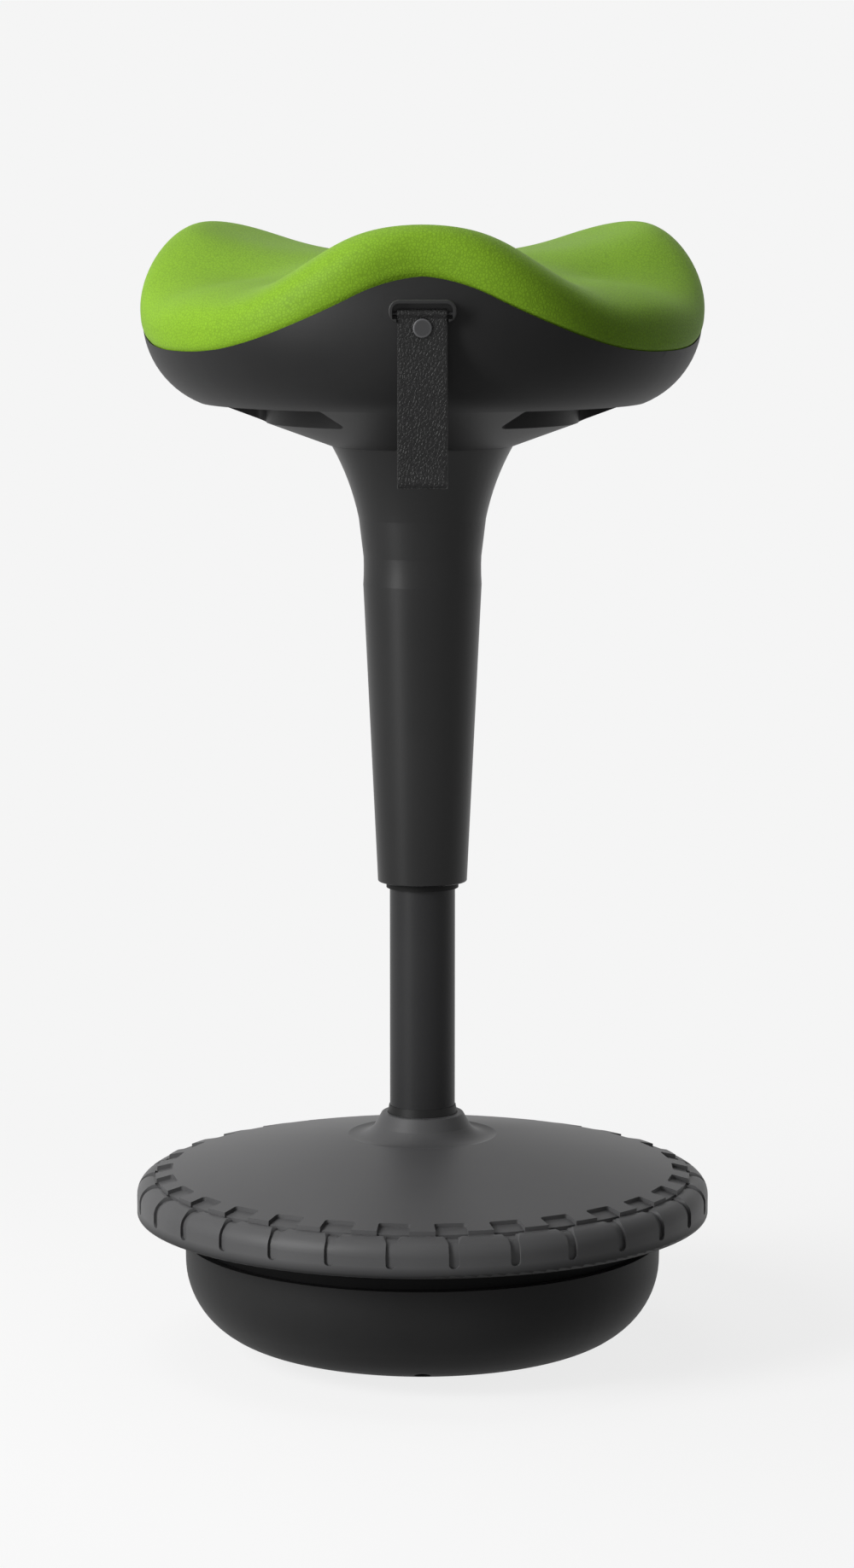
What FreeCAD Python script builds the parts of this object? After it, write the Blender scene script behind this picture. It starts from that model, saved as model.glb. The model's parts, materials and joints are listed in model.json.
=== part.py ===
# Wobble stool: a weighted bowl foot under a treaded dome, a sprung column that swivels and slides,
# and a three-lobed cushion in a moulded shell with finger scoops, a release paddle and a carry strap.
# Millimetres, +Z up, +Y to the back. The origin is the middle of the flat that the foot rests on.
import FreeCAD, Part
import math
import os

V = FreeCAD.Vector
UP = V(0, 0, 1)
ORIGIN = V(0, 0, 0)

# Clearances
RUNNING_GAP = 0.06
SNUG_GAP = 0.02
SEAT_GAP = 0.3
SEAM_GAP = 1.2
LOOSE_GAP = 1.0

# Bowl foot
BOWL_TOP_RADIUS = 154.0
BOWL_HEIGHT = 75.5
BOWL_DRAFT = math.radians(1.0)
BOWL_CORNER = 53.0
ROCKING_RADIUS = 573.0
REST_FLAT_RADIUS = 22.0
BOWL_WALL = 5.0
SOLE_RADIUS = 70.0
SOLE_THICKNESS = 2.0
RIB_THICKNESS = 3.0
RIB_RADII = (34.0, 68.5, 97.0)

# Ballast, hub and their fasteners
BALLAST_BOTTOM = 14.0
BALLAST_THICKNESS = 18.0
BALLAST_RADIUS = 101.0
BALLAST_BORE = 24.0
BALLAST_EDGE = 2.0
HUB_FLANGE_RADIUS = 70.0
HUB_FLANGE_THICKNESS = 5.0
HUB_WALL = 4.5
HUB_LENGTH = 38.0
GUSSET_COUNT = 4
GUSSET_REACH = 32.0
GUSSET_HEIGHT = 28.0
GUSSET_THICKNESS = 4.0
GUSSET_TIP = 3.0
HUB_BOLT_COUNT = 4
HUB_BOLT_CIRCLE = 54.0
HUB_BOLT_ANGLE = 45.0
HUB_BOLT_RADIUS = 4.0
HUB_BOLT_HEAD = 6.5
HUB_BOLT_HEAD_HEIGHT = 5.3
INSERT_RADIUS = 6.0
INSERT_LENGTH = 7.0
INSERT_BOSS_WALL = 3.0

# Dome cover with its collar and treaded rim
RIM_RADIUS = 185.0
RIM_BOTTOM = 91.0
RIM_TOP = 115.5
RIM_SHOULDER = 11.0
RIM_LOWER_CORNER = 2.6
DOME_EDGE_RADIUS = 173.0
DOME_EDGE_STEP = 2.8
DOME_ROOT_REACH = 21.8
DOME_ROOT_HEIGHT = 142.6
DOME_CROWN = 1.2
COLLAR_TOP = 157.0
COLLAR_RING_WIDTH = 1.7
COLLAR_WALL = 3.5
COLLAR_EDGE = 1.2
COLLAR_FOOT_SPREAD = 4.6
COLLAR_FOOT_DROP = 8.2
FLARE_SPREAD = 9.2
FLARE_DROP = 12.7
COVER_WALL = 3.2
NECK_GAP = 0.5
NECK_WALL = 3.0
NECK_DEPTH = 8.0
GROOVE_COUNT = 30
GROOVE_WIDTH = 6.4
GROOVE_DEPTH = 2.0
GROOVE_BOTTOM = 97.5
GROOVE_END_CORNER = 2.8
BLOCK_CORNER_WIDTH = 3.0
BLOCK_CORNER_HEIGHT = 4.6
BLOCK_BOW_SHARE = 0.3
POCKET_WIDTH = 20.0
POCKET_INNER_RADIUS = 162.0
POCKET_DEPTH = 2.4
POCKET_CORNER = 2.0
COVER_RIB_COUNT = 15
COVER_RIB_THICKNESS = 2.2
COVER_RIB_LIFT = 6.0
COVER_SCREW_COUNT = 6
COVER_SCREW_CIRCLE = 122.0
COVER_SCREW_ANGLE = 30.0
COVER_SCREW_RADIUS = 2.5
COVER_SCREW_HEAD = 4.8
COVER_SCREW_HEAD_HEIGHT = 3.4
COVER_SCREW_LENGTH = 38.0
COVER_POST_RADIUS = 6.0
COVER_POST_BOTTOM = 62.0
COVER_BOSS_WALL = 2.6
COVER_SCREW_SEAT = 34.0

# Column tube and what it holds
TUBE_RADIUS = 21.0
TUBE_WALL = 1.5
TUBE_FLOOR = 3.0
TUBE_TOP = 425.0
TUBE_FLOOR_BORE = 6.5
BUSH_LENGTH = 95.0
BUSH_LIP = 2.0
COLLAR_RING_DEPTH = 8.0
COLLAR_RING_RISE = 5.0
COLLAR_RING_LIP = 0.5
RACE_THICKNESS = 2.2
RACE_RADIUS = 14.0
RACE_TRACK_RADIUS = 10.0
BALL_TRACK_DEPTH = 0.6
BALL_COUNT = 9
BALL_RADIUS = 2.4
CAGE_THICKNESS = 1.8
CAGE_RIM = 3.2
ROD_RADIUS = 5.0
ROD_SHOULDER_RADIUS = 8.5
ROD_SHOULDER_THICKNESS = 3.0
ROD_TAIL = 7.0
ROD_EDGE = 0.8
ROD_TIP_RADIUS = 3.5
WASHER_RADIUS = 11.0
WASHER_THICKNESS = 1.5
CLIP_RADIUS = 8.0
CLIP_THICKNESS = 1.0
CLIP_GROOVE_RADIUS = 4.0
CLIP_MOUTH = 5.0
BUMP_STOP_HEIGHT = 10.0
BUMP_STOP_RADIUS = 13.0
BUMP_STOP_WAIST = 2.0
BUMP_STOP_EDGE = 1.5
PISTON_THICKNESS = 12.0
PISTON_TOP_GAP = 8.0
PISTON_RING_WIDTH = 2.0
PISTON_RING_DEPTH = 1.0
PISTON_EDGE = 0.8
PISTON_NUT_RADIUS = 6.5
PISTON_NUT_HEIGHT = 4.0

# Gas cylinder, as it stands in the photograph, and its travel
TRAVEL_DOWN = 138.0
TRAVEL_UP = 100.0
CYLINDER_RADIUS = 14.0
CYLINDER_BORE = 12.0
CYLINDER_LIP = 2.0
CYLINDER_LIP_BORE = 9.0
CYLINDER_TOP_WALL = 10.0
CYLINDER_TAPER_LENGTH = 30.0
CYLINDER_TOP_RADIUS = 13.3
CYLINDER_EDGE = 1.0
CYLINDER_TOP_EDGE = 0.6
ROD_GUIDE_LENGTH = 24.0
VALVE_BODY_LENGTH = 24.0
VALVE_PIN_RADIUS = 3.0
VALVE_BUTTON_RADIUS = 2.4
VALVE_BUTTON_HEIGHT = 3.0
VALVE_PIN_LENGTH = 32.0
VALVE_PIN_EDGE = 0.5

# Sleeve that hangs from the seat
SLEEVE_TOP = 588.0
SLEEVE_TOP_SPREAD = 13.5
SLEEVE_BOTTOM = 308.5
SLEEVE_BOTTOM_SPREAD = 7.6
SLEEVE_WAIST_HEIGHT = 500.0
SLEEVE_WAIST_SPREAD = 9.2
SLEEVE_FLARE_HEIGHT = 556.0
SLEEVE_FLARE_SPREAD = 6.2
SLEEVE_WALL = 2.4
SLEEVE_NECK_INSET = 9.5
SLEEVE_NECK_HEIGHT = 7.0
SLEEVE_HOOK_REACH = 1.6
SLEEVE_HOOK_HEIGHT = 2.0
SLEEVE_HOOK_COUNT = 4
SLEEVE_HOOK_ANGLE = 24.0
SLEEVE_HOOK_START = 45.0
SLEEVE_EDGE = 0.8
GLIDE_HEIGHT = 11.0
GLIDE_LIP_WIDTH = 2.2
GLIDE_LIP_HEIGHT = 4.0

# Seat bracket, board and fasteners
BOARD_BOTTOM = 630.0
BOARD_THICKNESS = 12.0
BOARD_INSET = 30.8
BOARD_EDGE = 1.5
BRACKET_THICKNESS = 3.0
BRACKET_BEND = 2.0
BRACKET_WIDTH = 130.0
BRACKET_LENGTH = 120.0
PAN_WIDTH = 78.0
PAN_DEPTH = 30.0
SOCKET_RADIUS = 19.0
SOCKET_LENGTH = 25.0
CYLINDER_PROUD = 3.0
BRACKET_BOLT_SPACING_X = 106.0
BRACKET_BOLT_SPACING_Y = 90.0
BRACKET_BOLT_RADIUS = 3.0
BRACKET_BOLT_HEAD = 5.0
BRACKET_BOLT_HEAD_HEIGHT = 4.2
BRACKET_BOLT_TIP = 1.0
TEE_NUT_RADIUS = 4.4
TEE_NUT_LENGTH = 9.0
TEE_NUT_FLANGE_RADIUS = 9.0
TEE_NUT_FLANGE_THICKNESS = 1.2

# Release lever
LEVER_PIVOT_Y = 24.0
LEVER_LIFT = 4.5
LEVER_ROD_RADIUS = 3.0
LEVER_HUB_RADIUS = 6.0
LEVER_HUB_WIDTH = 14.0
LEVER_TAIL = 6.0
LEVER_PIN_RADIUS = 2.5
LEVER_PIN_HEAD = 4.0
LEVER_PIN_HEAD_THICKNESS = 1.5
EAR_THICKNESS = 3.0
EAR_HALF_LENGTH = 7.0
EAR_RISE = 6.0
PADDLE_WIDTH = 50.0
PADDLE_GAP = 2.0
PADDLE_LENGTH = 23.0
PADDLE_THICKNESS = 8.0
PADDLE_CORNER = 7.0
PADDLE_BOW = 1.6
PADDLE_EDGE = 2.5
PADDLE_SOCKET = 16.0

# Seat shell with its finger scoops
BELLY_RADIUS = 176.8
BELLY_HEIGHT = 669.0
SHELL_SIDE_ARC = 57.2
SHELL_BORDER_HEIGHT = 616.0
SHELL_LEDGE = 7.0
SHELL_WALL = 3.0
SHELL_BOW_ANGLE = 20.0
SHELL_ROOF = 712.0
SCOOP_COUNT = 3
SCOOP_INSET = 39.8
SCOOP_REACH = 38.0
SCOOP_HALF_ANGLE = 32.0
SCOOP_CEILING = 626.0
SCOOP_WALL = 2.5
SCOOP_CORNER = 7.0
SHELL_SCREW_SPREAD = 20.0
SHELL_SCREW_INSET = 19.0
SHELL_SCREW_RADIUS = 2.0
SHELL_SCREW_HEAD = 4.0
SHELL_SCREW_HEAD_HEIGHT = 2.2
SHELL_SCREW_LENGTH = 12.0
SHELL_BOSS_RADIUS = 5.0

# Cushion: the seam and the crest are waves with three humps, one of them at the front
LOBE_COUNT = 3
FRONT = 270.0
BACK = 90.0
SEAM_HEIGHT = 670.3
SEAM_WAVE = 22.8
SEAM_RIPPLE = 4.7
SEAM_THIRD = 0.8
SEAM_FOURTH = 0.4
CREST_HEIGHT = 707.6
CREST_WAVE = 19.6
CREST_RIPPLE = 3.4
CREST_THIRD = -1.7
CREST_INSET = 46.5
CREST_RADIUS_WAVE = 24.0
DISH_HEIGHT = 707.3
DISH_FLAT_RADIUS = 14.0
CUSHION_BULGE = 7.0
CUSHION_BELLY_SHARE = 0.45
CUSHION_BROW_SHARE = 0.2
CUSHION_FOOT_SPREAD = 2.0
CUSHION_TUCK = 6.0
RING_ARCS = 24
DISH_RINGS = (0.88, 0.7, 0.48, 0.27)
SIDE_RINGS = (0.16, 0.34, 0.52, 0.7, 0.86, 1.0)

# Carry strap, its bar and its frame
STRAP_WIDTH = 30.0
STRAP_LAYER = 1.8
STRAP_HANG = 104.0
STRAP_FOLD_RADIUS = 3.1
STRAP_BAR_RADIUS = 1.25
STRAP_BAR_HEIGHT = 676.6
STRAP_PINCH = 2.4
RIVET_RADIUS = 5.7
RIVET_HEAD = 1.4
RIVET_EDGE = 0.8
RIVET_GAP = 0.3
FRAME_WIDTH = 40.4
FRAME_TOP = 685.0
FRAME_BOTTOM = 671.4
FRAME_BEAD = 2.2
FRAME_CORNER = 6.2
FRAME_EDGE = 1.0
FRAME_PROUD = 3.2
FRAME_BACK = 2.0
FRAME_BOSS_WALL = 3.0

# Places worked out from the sizes above
COLLAR_BORE = TUBE_RADIUS + COLLAR_RING_WIDTH
COLLAR_RADIUS = COLLAR_BORE + COLLAR_WALL
DOME_ROOT_RADIUS = COLLAR_RADIUS + DOME_ROOT_REACH
GLIDE_LIP_RADIUS = TUBE_RADIUS + GLIDE_LIP_WIDTH
SLEEVE_BOTTOM_RADIUS = TUBE_RADIUS + SLEEVE_BOTTOM_SPREAD
SLEEVE_WAIST_RADIUS = SLEEVE_BOTTOM_RADIUS + SLEEVE_WAIST_SPREAD
SLEEVE_FLARE_RADIUS = SLEEVE_WAIST_RADIUS + SLEEVE_FLARE_SPREAD
SLEEVE_TOP_RADIUS = SLEEVE_FLARE_RADIUS + SLEEVE_TOP_SPREAD
SLEEVE_NECK_RADIUS = SLEEVE_TOP_RADIUS - SLEEVE_NECK_INSET
BOARD_RADIUS = BELLY_RADIUS - BOARD_INSET
CUSHION_FOOT_RADIUS = BOARD_RADIUS + CUSHION_FOOT_SPREAD
CREST_RADIUS = BELLY_RADIUS - CREST_INSET
SCOOP_OUTER_RADIUS = BELLY_RADIUS - SCOOP_INSET
SCOOP_INNER_RADIUS = SCOOP_OUTER_RADIUS - SCOOP_REACH
SHELL_SCREW_CIRCLE = SCOOP_OUTER_RADIUS - SHELL_SCREW_INSET
PADDLE_INNER_Y = SCOOP_INNER_RADIUS + PADDLE_GAP
PADDLE_OUTER_Y = PADDLE_INNER_Y + PADDLE_LENGTH
HUB_BOTTOM = BALLAST_BOTTOM + BALLAST_THICKNESS
TUBE_BOTTOM = HUB_BOTTOM + HUB_FLANGE_THICKNESS
TUBE_BORE = TUBE_RADIUS - TUBE_WALL
LOWER_RACE_Z = TUBE_BOTTOM + TUBE_FLOOR
BALL_CENTRE_Z = LOWER_RACE_Z + RACE_THICKNESS - BALL_TRACK_DEPTH + BALL_RADIUS + SNUG_GAP
UPPER_RACE_Z = BALL_CENTRE_Z + BALL_RADIUS + SNUG_GAP - BALL_TRACK_DEPTH
SHOULDER_Z = UPPER_RACE_Z + RACE_THICKNESS
BUMP_STOP_Z = SHOULDER_Z + ROD_SHOULDER_THICKNESS
CYLINDER_BOTTOM = BUMP_STOP_Z + BUMP_STOP_HEIGHT + TRAVEL_DOWN + LOOSE_GAP
PISTON_Z = CYLINDER_BOTTOM + TRAVEL_UP + CYLINDER_LIP + ROD_GUIDE_LENGTH + PISTON_TOP_GAP
PAN_FLOOR_TOP = BOARD_BOTTOM - PAN_DEPTH + BRACKET_THICKNESS
CYLINDER_TOP = PAN_FLOOR_TOP + CYLINDER_PROUD
LEVER_Z = CYLINDER_TOP + LEVER_LIFT + LEVER_ROD_RADIUS
BOARD_TOP = BOARD_BOTTOM + BOARD_THICKNESS
SIDE_ARC_CENTRE = BELLY_RADIUS - SHELL_SIDE_ARC
BAR_Y = -(BELLY_RADIUS + STRAP_LAYER + STRAP_BAR_RADIUS)
STRAP_EYE = STRAP_BAR_RADIUS + RUNNING_GAP
STRAP_LOOP = STRAP_EYE + STRAP_LAYER
RIVET_Z = STRAP_BAR_HEIGHT - STRAP_PINCH - RIVET_GAP - RIVET_RADIUS


def cylinder(radius, bottom, top, x=0.0, y=0.0):
    """An upright cylinder."""
    return Part.makeCylinder(radius, top - bottom, V(x, y, bottom), UP)


def tube(outer, inner, bottom, top, x=0.0, y=0.0):
    """An upright tube."""
    return cylinder(outer, bottom, top, x, y).cut(cylinder(inner, bottom - 1, top + 1, x, y))


def block(x0, x1, y0, y1, z0, z1):
    """A box between two corners."""
    return Part.makeBox(x1 - x0, y1 - y0, z1 - z0, V(x0, y0, z0))


def polar(radius, angle):
    """The x and y of a point at a radius and an azimuth in degrees."""
    return radius * math.cos(math.radians(angle)), radius * math.sin(math.radians(angle))


def turn(shape, angle):
    """A copy turned about the column."""
    copy = shape.copy()
    copy.rotate(ORIGIN, UP, angle)
    return copy


def around(shape, count, start=0.0):
    """Copies of a shape spread evenly about the column."""
    return [turn(shape, start + 360.0 * i / count) for i in range(count)]


def group(shapes):
    """Several separate solids as one piece list."""
    return Part.makeCompound(shapes)


def corner(before, at, after, radius):
    """The two tangent points and the middle of a rounded corner."""
    to_before = (before - at).normalize()
    to_after = (after - at).normalize()
    half = to_before.getAngle(to_after) / 2
    reach = radius / math.tan(half)
    middle_way = (to_before + to_after).normalize()
    centre = at + middle_way * (radius / math.sin(half))
    return at + to_before * reach, centre - middle_way * radius, at + to_after * reach


def outline(stops, place):
    """A closed wire. A stop is (a, b), (a, b, corner radius) or ("bow", a, b), an arc's middle."""
    points = [place(*stop[:2]) for stop in stops if stop[0] != "bow"]
    solid_stops = [stop for stop in stops if stop[0] != "bow"]
    bows = {}
    for i, stop in enumerate(stops):
        if stop[0] == "bow":
            bows[len([s for s in stops[:i] if s[0] != "bow"]) - 1] = place(*stop[1:])
    count = len(points)
    leave = list(points)
    arrive = list(points)
    edges = []
    for i, stop in enumerate(solid_stops):
        if len(stop) == 3:
            first, middle, last = corner(points[i - 1], points[i], points[(i + 1) % count], stop[2])
            arrive[i] = first
            leave[i] = last
            edges.append((i - 0.5, Part.Arc(first, middle, last).toShape()))
    for i in range(count):
        start = leave[i]
        end = arrive[(i + 1) % count]
        if i in bows:
            edges.append((i, Part.Arc(start, bows[i], end).toShape()))
        elif start.distanceToPoint(end) > 1e-6:
            edges.append((i, Part.makeLine(start, end)))
    edges.sort(key=lambda pair: pair[0])
    return Part.Wire([edge for _, edge in edges])


def turned(*stops):
    """A solid of revolution about the column from an outline of radius and height."""
    face = Part.Face(outline(stops, lambda r, z: V(r, 0, z)))
    return face.revolve(ORIGIN, UP, 360)


def drawn(stops, place, length):
    """A flat outline pushed along a direction."""
    return Part.Face(outline(stops, place)).extrude(length)


def hexagon(radius, bottom, top, x=0.0, y=0.0):
    """A hexagonal prism, its radius measured to the flats."""
    reach = radius / math.cos(math.pi / 6)
    stops = [(x + polar(reach, 60 * i)[0], y + polar(reach, 60 * i)[1]) for i in range(6)]
    return drawn(stops, lambda a, b: V(a, b, bottom), V(0, 0, top - bottom))


def sector(outer, inner, bottom, top, middle, half_angle):
    """A part of a ring about the column."""
    solid = Part.makeCylinder(outer, top - bottom, V(0, 0, bottom), UP, 2 * half_angle)
    return turn(solid.cut(cylinder(inner, bottom - 1, top + 1)), middle - half_angle)


# Bowl foot

def bowl_zone(inset):
    """Everything inside the bowl's outer face, moved in by an inset."""
    ball = ROCKING_RADIUS - inset
    ball_centre = math.sqrt(ROCKING_RADIUS ** 2 - REST_FLAT_RADIUS ** 2)
    bend = BOWL_CORNER - inset
    slope = math.tan(BOWL_DRAFT)
    wall_foot = BOWL_TOP_RADIUS - BOWL_HEIGHT * slope - BOWL_CORNER / math.cos(BOWL_DRAFT)
    a = 1 + slope ** 2
    b = 2 * (wall_foot * slope - ball_centre)
    c = wall_foot ** 2 + ball_centre ** 2 - (ROCKING_RADIUS - BOWL_CORNER) ** 2
    bend_z = (-b - math.sqrt(b * b - 4 * a * c)) / (2 * a)
    bend_r = wall_foot + slope * bend_z
    low = math.atan2(bend_r, ball_centre - bend_z)
    high = math.pi / 2 + BOWL_DRAFT
    start = math.asin(REST_FLAT_RADIUS / ball) if inset == 0 else 0.0

    def on_ball(angle):
        return ball * math.sin(angle), ball_centre - ball * math.cos(angle)

    def on_bend(angle):
        return bend_r + bend * math.sin(angle), bend_z - bend * math.cos(angle)

    stops = [(0, BOWL_HEIGHT), (0, on_ball(start)[1])]
    if inset == 0:
        stops.append(on_ball(start))
    stops += [("bow",) + on_ball((start + low) / 2), on_bend(low)]
    stops += [("bow",) + on_bend((low + high) / 2), on_bend(high)]
    stops += [(BOWL_TOP_RADIUS - inset / math.cos(BOWL_DRAFT), BOWL_HEIGHT)]
    return turned(*stops)


def floor_height(radius):
    """The height of the rocking face at a radius."""
    return ROCKING_RADIUS - math.sqrt(ROCKING_RADIUS ** 2 - radius ** 2)


def make_foot_bowl():
    """The round-bottomed bowl that the stool rocks on, with ribs and screw bosses inside."""
    outer = bowl_zone(0)
    walls = outer.cut(bowl_zone(BOWL_WALL))
    extras = []
    for radius in RIB_RADII:
        foot = floor_height(radius) + BOWL_WALL / 2
        extras.append(tube(radius, radius - RIB_THICKNESS, foot, BALLAST_BOTTOM))
    x, y = polar(HUB_BOLT_CIRCLE, HUB_BOLT_ANGLE)
    boss = cylinder(INSERT_RADIUS + INSERT_BOSS_WALL, floor_height(HUB_BOLT_CIRCLE) + BOWL_WALL / 2,
                    BALLAST_BOTTOM, x, y)
    extras += around(boss, HUB_BOLT_COUNT)
    x, y = polar(COVER_SCREW_CIRCLE, COVER_SCREW_ANGLE)
    boss_radius = COVER_SCREW_HEAD + LOOSE_GAP / 2 + COVER_BOSS_WALL
    boss = cylinder(boss_radius, 0, COVER_POST_BOTTOM, x, y).common(outer)
    extras += around(boss, COVER_SCREW_COUNT)
    bowl = walls.fuse(extras)
    holes = around(cylinder(INSERT_RADIUS + SNUG_GAP, BALLAST_BOTTOM - INSERT_LENGTH, BALLAST_BOTTOM + 1,
                            *polar(HUB_BOLT_CIRCLE, HUB_BOLT_ANGLE)), HUB_BOLT_COUNT)
    head_way = cylinder(COVER_SCREW_HEAD + LOOSE_GAP / 2, -1, COVER_SCREW_SEAT, x, y)
    holes += around(head_way, COVER_SCREW_COUNT)
    shank_way = cylinder(COVER_SCREW_RADIUS + SEAT_GAP, -1, COVER_POST_BOTTOM + 1, x, y)
    holes += around(shank_way, COVER_SCREW_COUNT)
    recess = outer.cut(bowl_zone(SOLE_THICKNESS))
    recess = recess.common(cylinder(SOLE_RADIUS + SNUG_GAP, -1, BOWL_HEIGHT))
    return bowl.cut(holes + [recess]).removeSplitter()


def make_foot_sole():
    """The soft pad let into the bowl's rocking face."""
    skin = bowl_zone(0).cut(bowl_zone(SOLE_THICKNESS))
    return skin.common(cylinder(SOLE_RADIUS, -1, BALLAST_BOTTOM))


def make_threaded_inserts():
    """The threaded sleeves moulded into the bowl for the hub's bolts."""
    x, y = polar(HUB_BOLT_CIRCLE, HUB_BOLT_ANGLE)
    insert = tube(INSERT_RADIUS, HUB_BOLT_RADIUS + SNUG_GAP, BALLAST_BOTTOM - INSERT_LENGTH,
                  BALLAST_BOTTOM, x, y)
    return group(around(insert, HUB_BOLT_COUNT))


def make_ballast_weight():
    """The iron disc that keeps the stool upright."""
    disc = turned((BALLAST_BORE, BALLAST_BOTTOM), (BALLAST_RADIUS, BALLAST_BOTTOM, BALLAST_EDGE),
                  (BALLAST_RADIUS, HUB_BOTTOM, BALLAST_EDGE), (BALLAST_BORE, HUB_BOTTOM))
    x, y = polar(HUB_BOLT_CIRCLE, HUB_BOLT_ANGLE)
    hole = cylinder(HUB_BOLT_RADIUS + LOOSE_GAP / 2, BALLAST_BOTTOM - 1, HUB_BOTTOM + 1, x, y)
    return disc.cut(around(hole, HUB_BOLT_COUNT))


def make_column_hub():
    """The flanged socket that holds the column's foot."""
    socket = TUBE_RADIUS + SNUG_GAP
    plate = cylinder(HUB_FLANGE_RADIUS, HUB_BOTTOM, TUBE_BOTTOM)
    barrel = cylinder(socket + HUB_WALL, HUB_BOTTOM, TUBE_BOTTOM + HUB_LENGTH)
    inside = socket + HUB_WALL - 1
    far = socket + HUB_WALL + GUSSET_REACH
    stops = ((inside, TUBE_BOTTOM - 1), (far, TUBE_BOTTOM - 1),
             (far, TUBE_BOTTOM + GUSSET_TIP), (inside, TUBE_BOTTOM + GUSSET_HEIGHT))
    gusset = drawn(stops, lambda a, b: V(a, -GUSSET_THICKNESS / 2, b), V(0, GUSSET_THICKNESS, 0))
    body = plate.fuse([barrel] + around(gusset, GUSSET_COUNT))
    x, y = polar(HUB_BOLT_CIRCLE, HUB_BOLT_ANGLE)
    holes = around(cylinder(HUB_BOLT_RADIUS + SEAT_GAP, 0, TUBE_BOTTOM + 1, x, y), HUB_BOLT_COUNT)
    holes.append(cylinder(WASHER_RADIUS + LOOSE_GAP, 0, TUBE_BOTTOM + 1))
    holes.append(cylinder(socket, TUBE_BOTTOM, TUBE_BOTTOM + HUB_LENGTH + 1))
    return body.cut(holes)


def make_hub_bolts():
    """The bolts through hub and ballast into the bowl."""
    x, y = polar(HUB_BOLT_CIRCLE, HUB_BOLT_ANGLE)
    head = hexagon(HUB_BOLT_HEAD, TUBE_BOTTOM, TUBE_BOTTOM + HUB_BOLT_HEAD_HEIGHT, x, y)
    shank = cylinder(HUB_BOLT_RADIUS, BALLAST_BOTTOM - INSERT_LENGTH + 1, TUBE_BOTTOM, x, y)
    return group(around(head.fuse(shank), HUB_BOLT_COUNT))


# Dome cover

def dome_height(radius):
    """The height of the dome's straight slope at a radius, without its crown."""
    edge = RIM_TOP + DOME_EDGE_STEP
    share = (DOME_EDGE_RADIUS - radius) / (DOME_EDGE_RADIUS - DOME_ROOT_RADIUS)
    return edge + share * (DOME_ROOT_HEIGHT - edge)


def cover_zone(inset):
    """Everything under the cover's outer face, moved in by an inset."""
    middle = (DOME_EDGE_RADIUS + DOME_ROOT_RADIUS) / 2
    neck = COLLAR_RADIUS - inset / 2
    return turned((0, RIM_BOTTOM), (RIM_RADIUS - inset, RIM_BOTTOM, RIM_LOWER_CORNER),
                  (RIM_RADIUS - inset, RIM_TOP - inset, RIM_SHOULDER - inset),
                  (DOME_EDGE_RADIUS - inset / 2, RIM_TOP - inset),
                  (DOME_EDGE_RADIUS - inset / 2, RIM_TOP + DOME_EDGE_STEP - inset),
                  ("bow", middle, dome_height(middle) + DOME_CROWN - inset),
                  (DOME_ROOT_RADIUS - inset / 3, DOME_ROOT_HEIGHT - inset),
                  ("bow", neck + FLARE_SPREAD, COLLAR_TOP - FLARE_DROP - inset / 2),
                  (neck + COLLAR_FOOT_SPREAD, COLLAR_TOP - COLLAR_FOOT_DROP),
                  (neck, COLLAR_TOP, COLLAR_EDGE), (0, COLLAR_TOP))


def cover_hollow():
    """The space under the dome and inside the rim."""
    middle = (DOME_EDGE_RADIUS + DOME_ROOT_RADIUS) / 2
    roof = DOME_ROOT_HEIGHT - COVER_WALL
    edge = DOME_EDGE_RADIUS - COVER_WALL
    return turned((0, RIM_BOTTOM - 1), (RIM_RADIUS - COVER_WALL, RIM_BOTTOM - 1),
                  (RIM_RADIUS - COVER_WALL, RIM_TOP - COVER_WALL, RIM_SHOULDER - COVER_WALL),
                  (edge, RIM_TOP - COVER_WALL),
                  ("bow", middle, dome_height(middle) + DOME_CROWN - COVER_WALL),
                  (DOME_ROOT_RADIUS, roof), (0, roof))


def tread_cuts():
    """The grooves down the rim, each with its wider pocket on the dome's edge."""
    angle = 360.0 / GROOVE_COUNT
    half = GROOVE_WIDTH / 2
    wide = half + BLOCK_CORNER_WIDTH
    low = RIM_TOP - BLOCK_CORNER_HEIGHT
    bow_x = half + BLOCK_BOW_SHARE * BLOCK_CORNER_WIDTH
    bow_z = RIM_TOP - BLOCK_BOW_SHARE * BLOCK_CORNER_HEIGHT
    top = RIM_TOP + DOME_EDGE_STEP + 1
    stops = ((-half, GROOVE_BOTTOM, GROOVE_END_CORNER), (half, GROOVE_BOTTOM, GROOVE_END_CORNER),
             (half, low), ("bow", bow_x, bow_z), (wide, RIM_TOP), (wide, top), (-wide, top),
             (-wide, RIM_TOP), ("bow", -bow_x, bow_z), (-half, low))
    slot = drawn(stops, lambda a, b: V(DOME_EDGE_RADIUS - 1, a, b), V(RIM_RADIUS, 0, 0))
    pocket = block(POCKET_INNER_RADIUS, DOME_EDGE_RADIUS + 1, -POCKET_WIDTH / 2, POCKET_WIDTH / 2,
                   RIM_TOP - 1, RIM_TOP + RIM_SHOULDER)
    pocket = pocket.makeFillet(POCKET_CORNER, [e for e in pocket.Edges if is_pocket_corner(e)])
    skin = cover_zone(0)
    groove_skin = skin.cut(cover_zone(GROOVE_DEPTH))
    pocket_skin = skin.cut(cover_zone(POCKET_DEPTH))
    one = [slot.common(groove_skin), pocket.common(pocket_skin)]
    cuts = []
    for piece in one:
        cuts += around(piece, GROOVE_COUNT, FRONT + angle / 2)
    return cuts


def is_pocket_corner(edge):
    """Whether an edge is one of a pocket's two upright inner corners."""
    box = edge.BoundBox
    return box.ZLength > 1 and box.XMax < POCKET_INNER_RADIUS + 0.5


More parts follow.
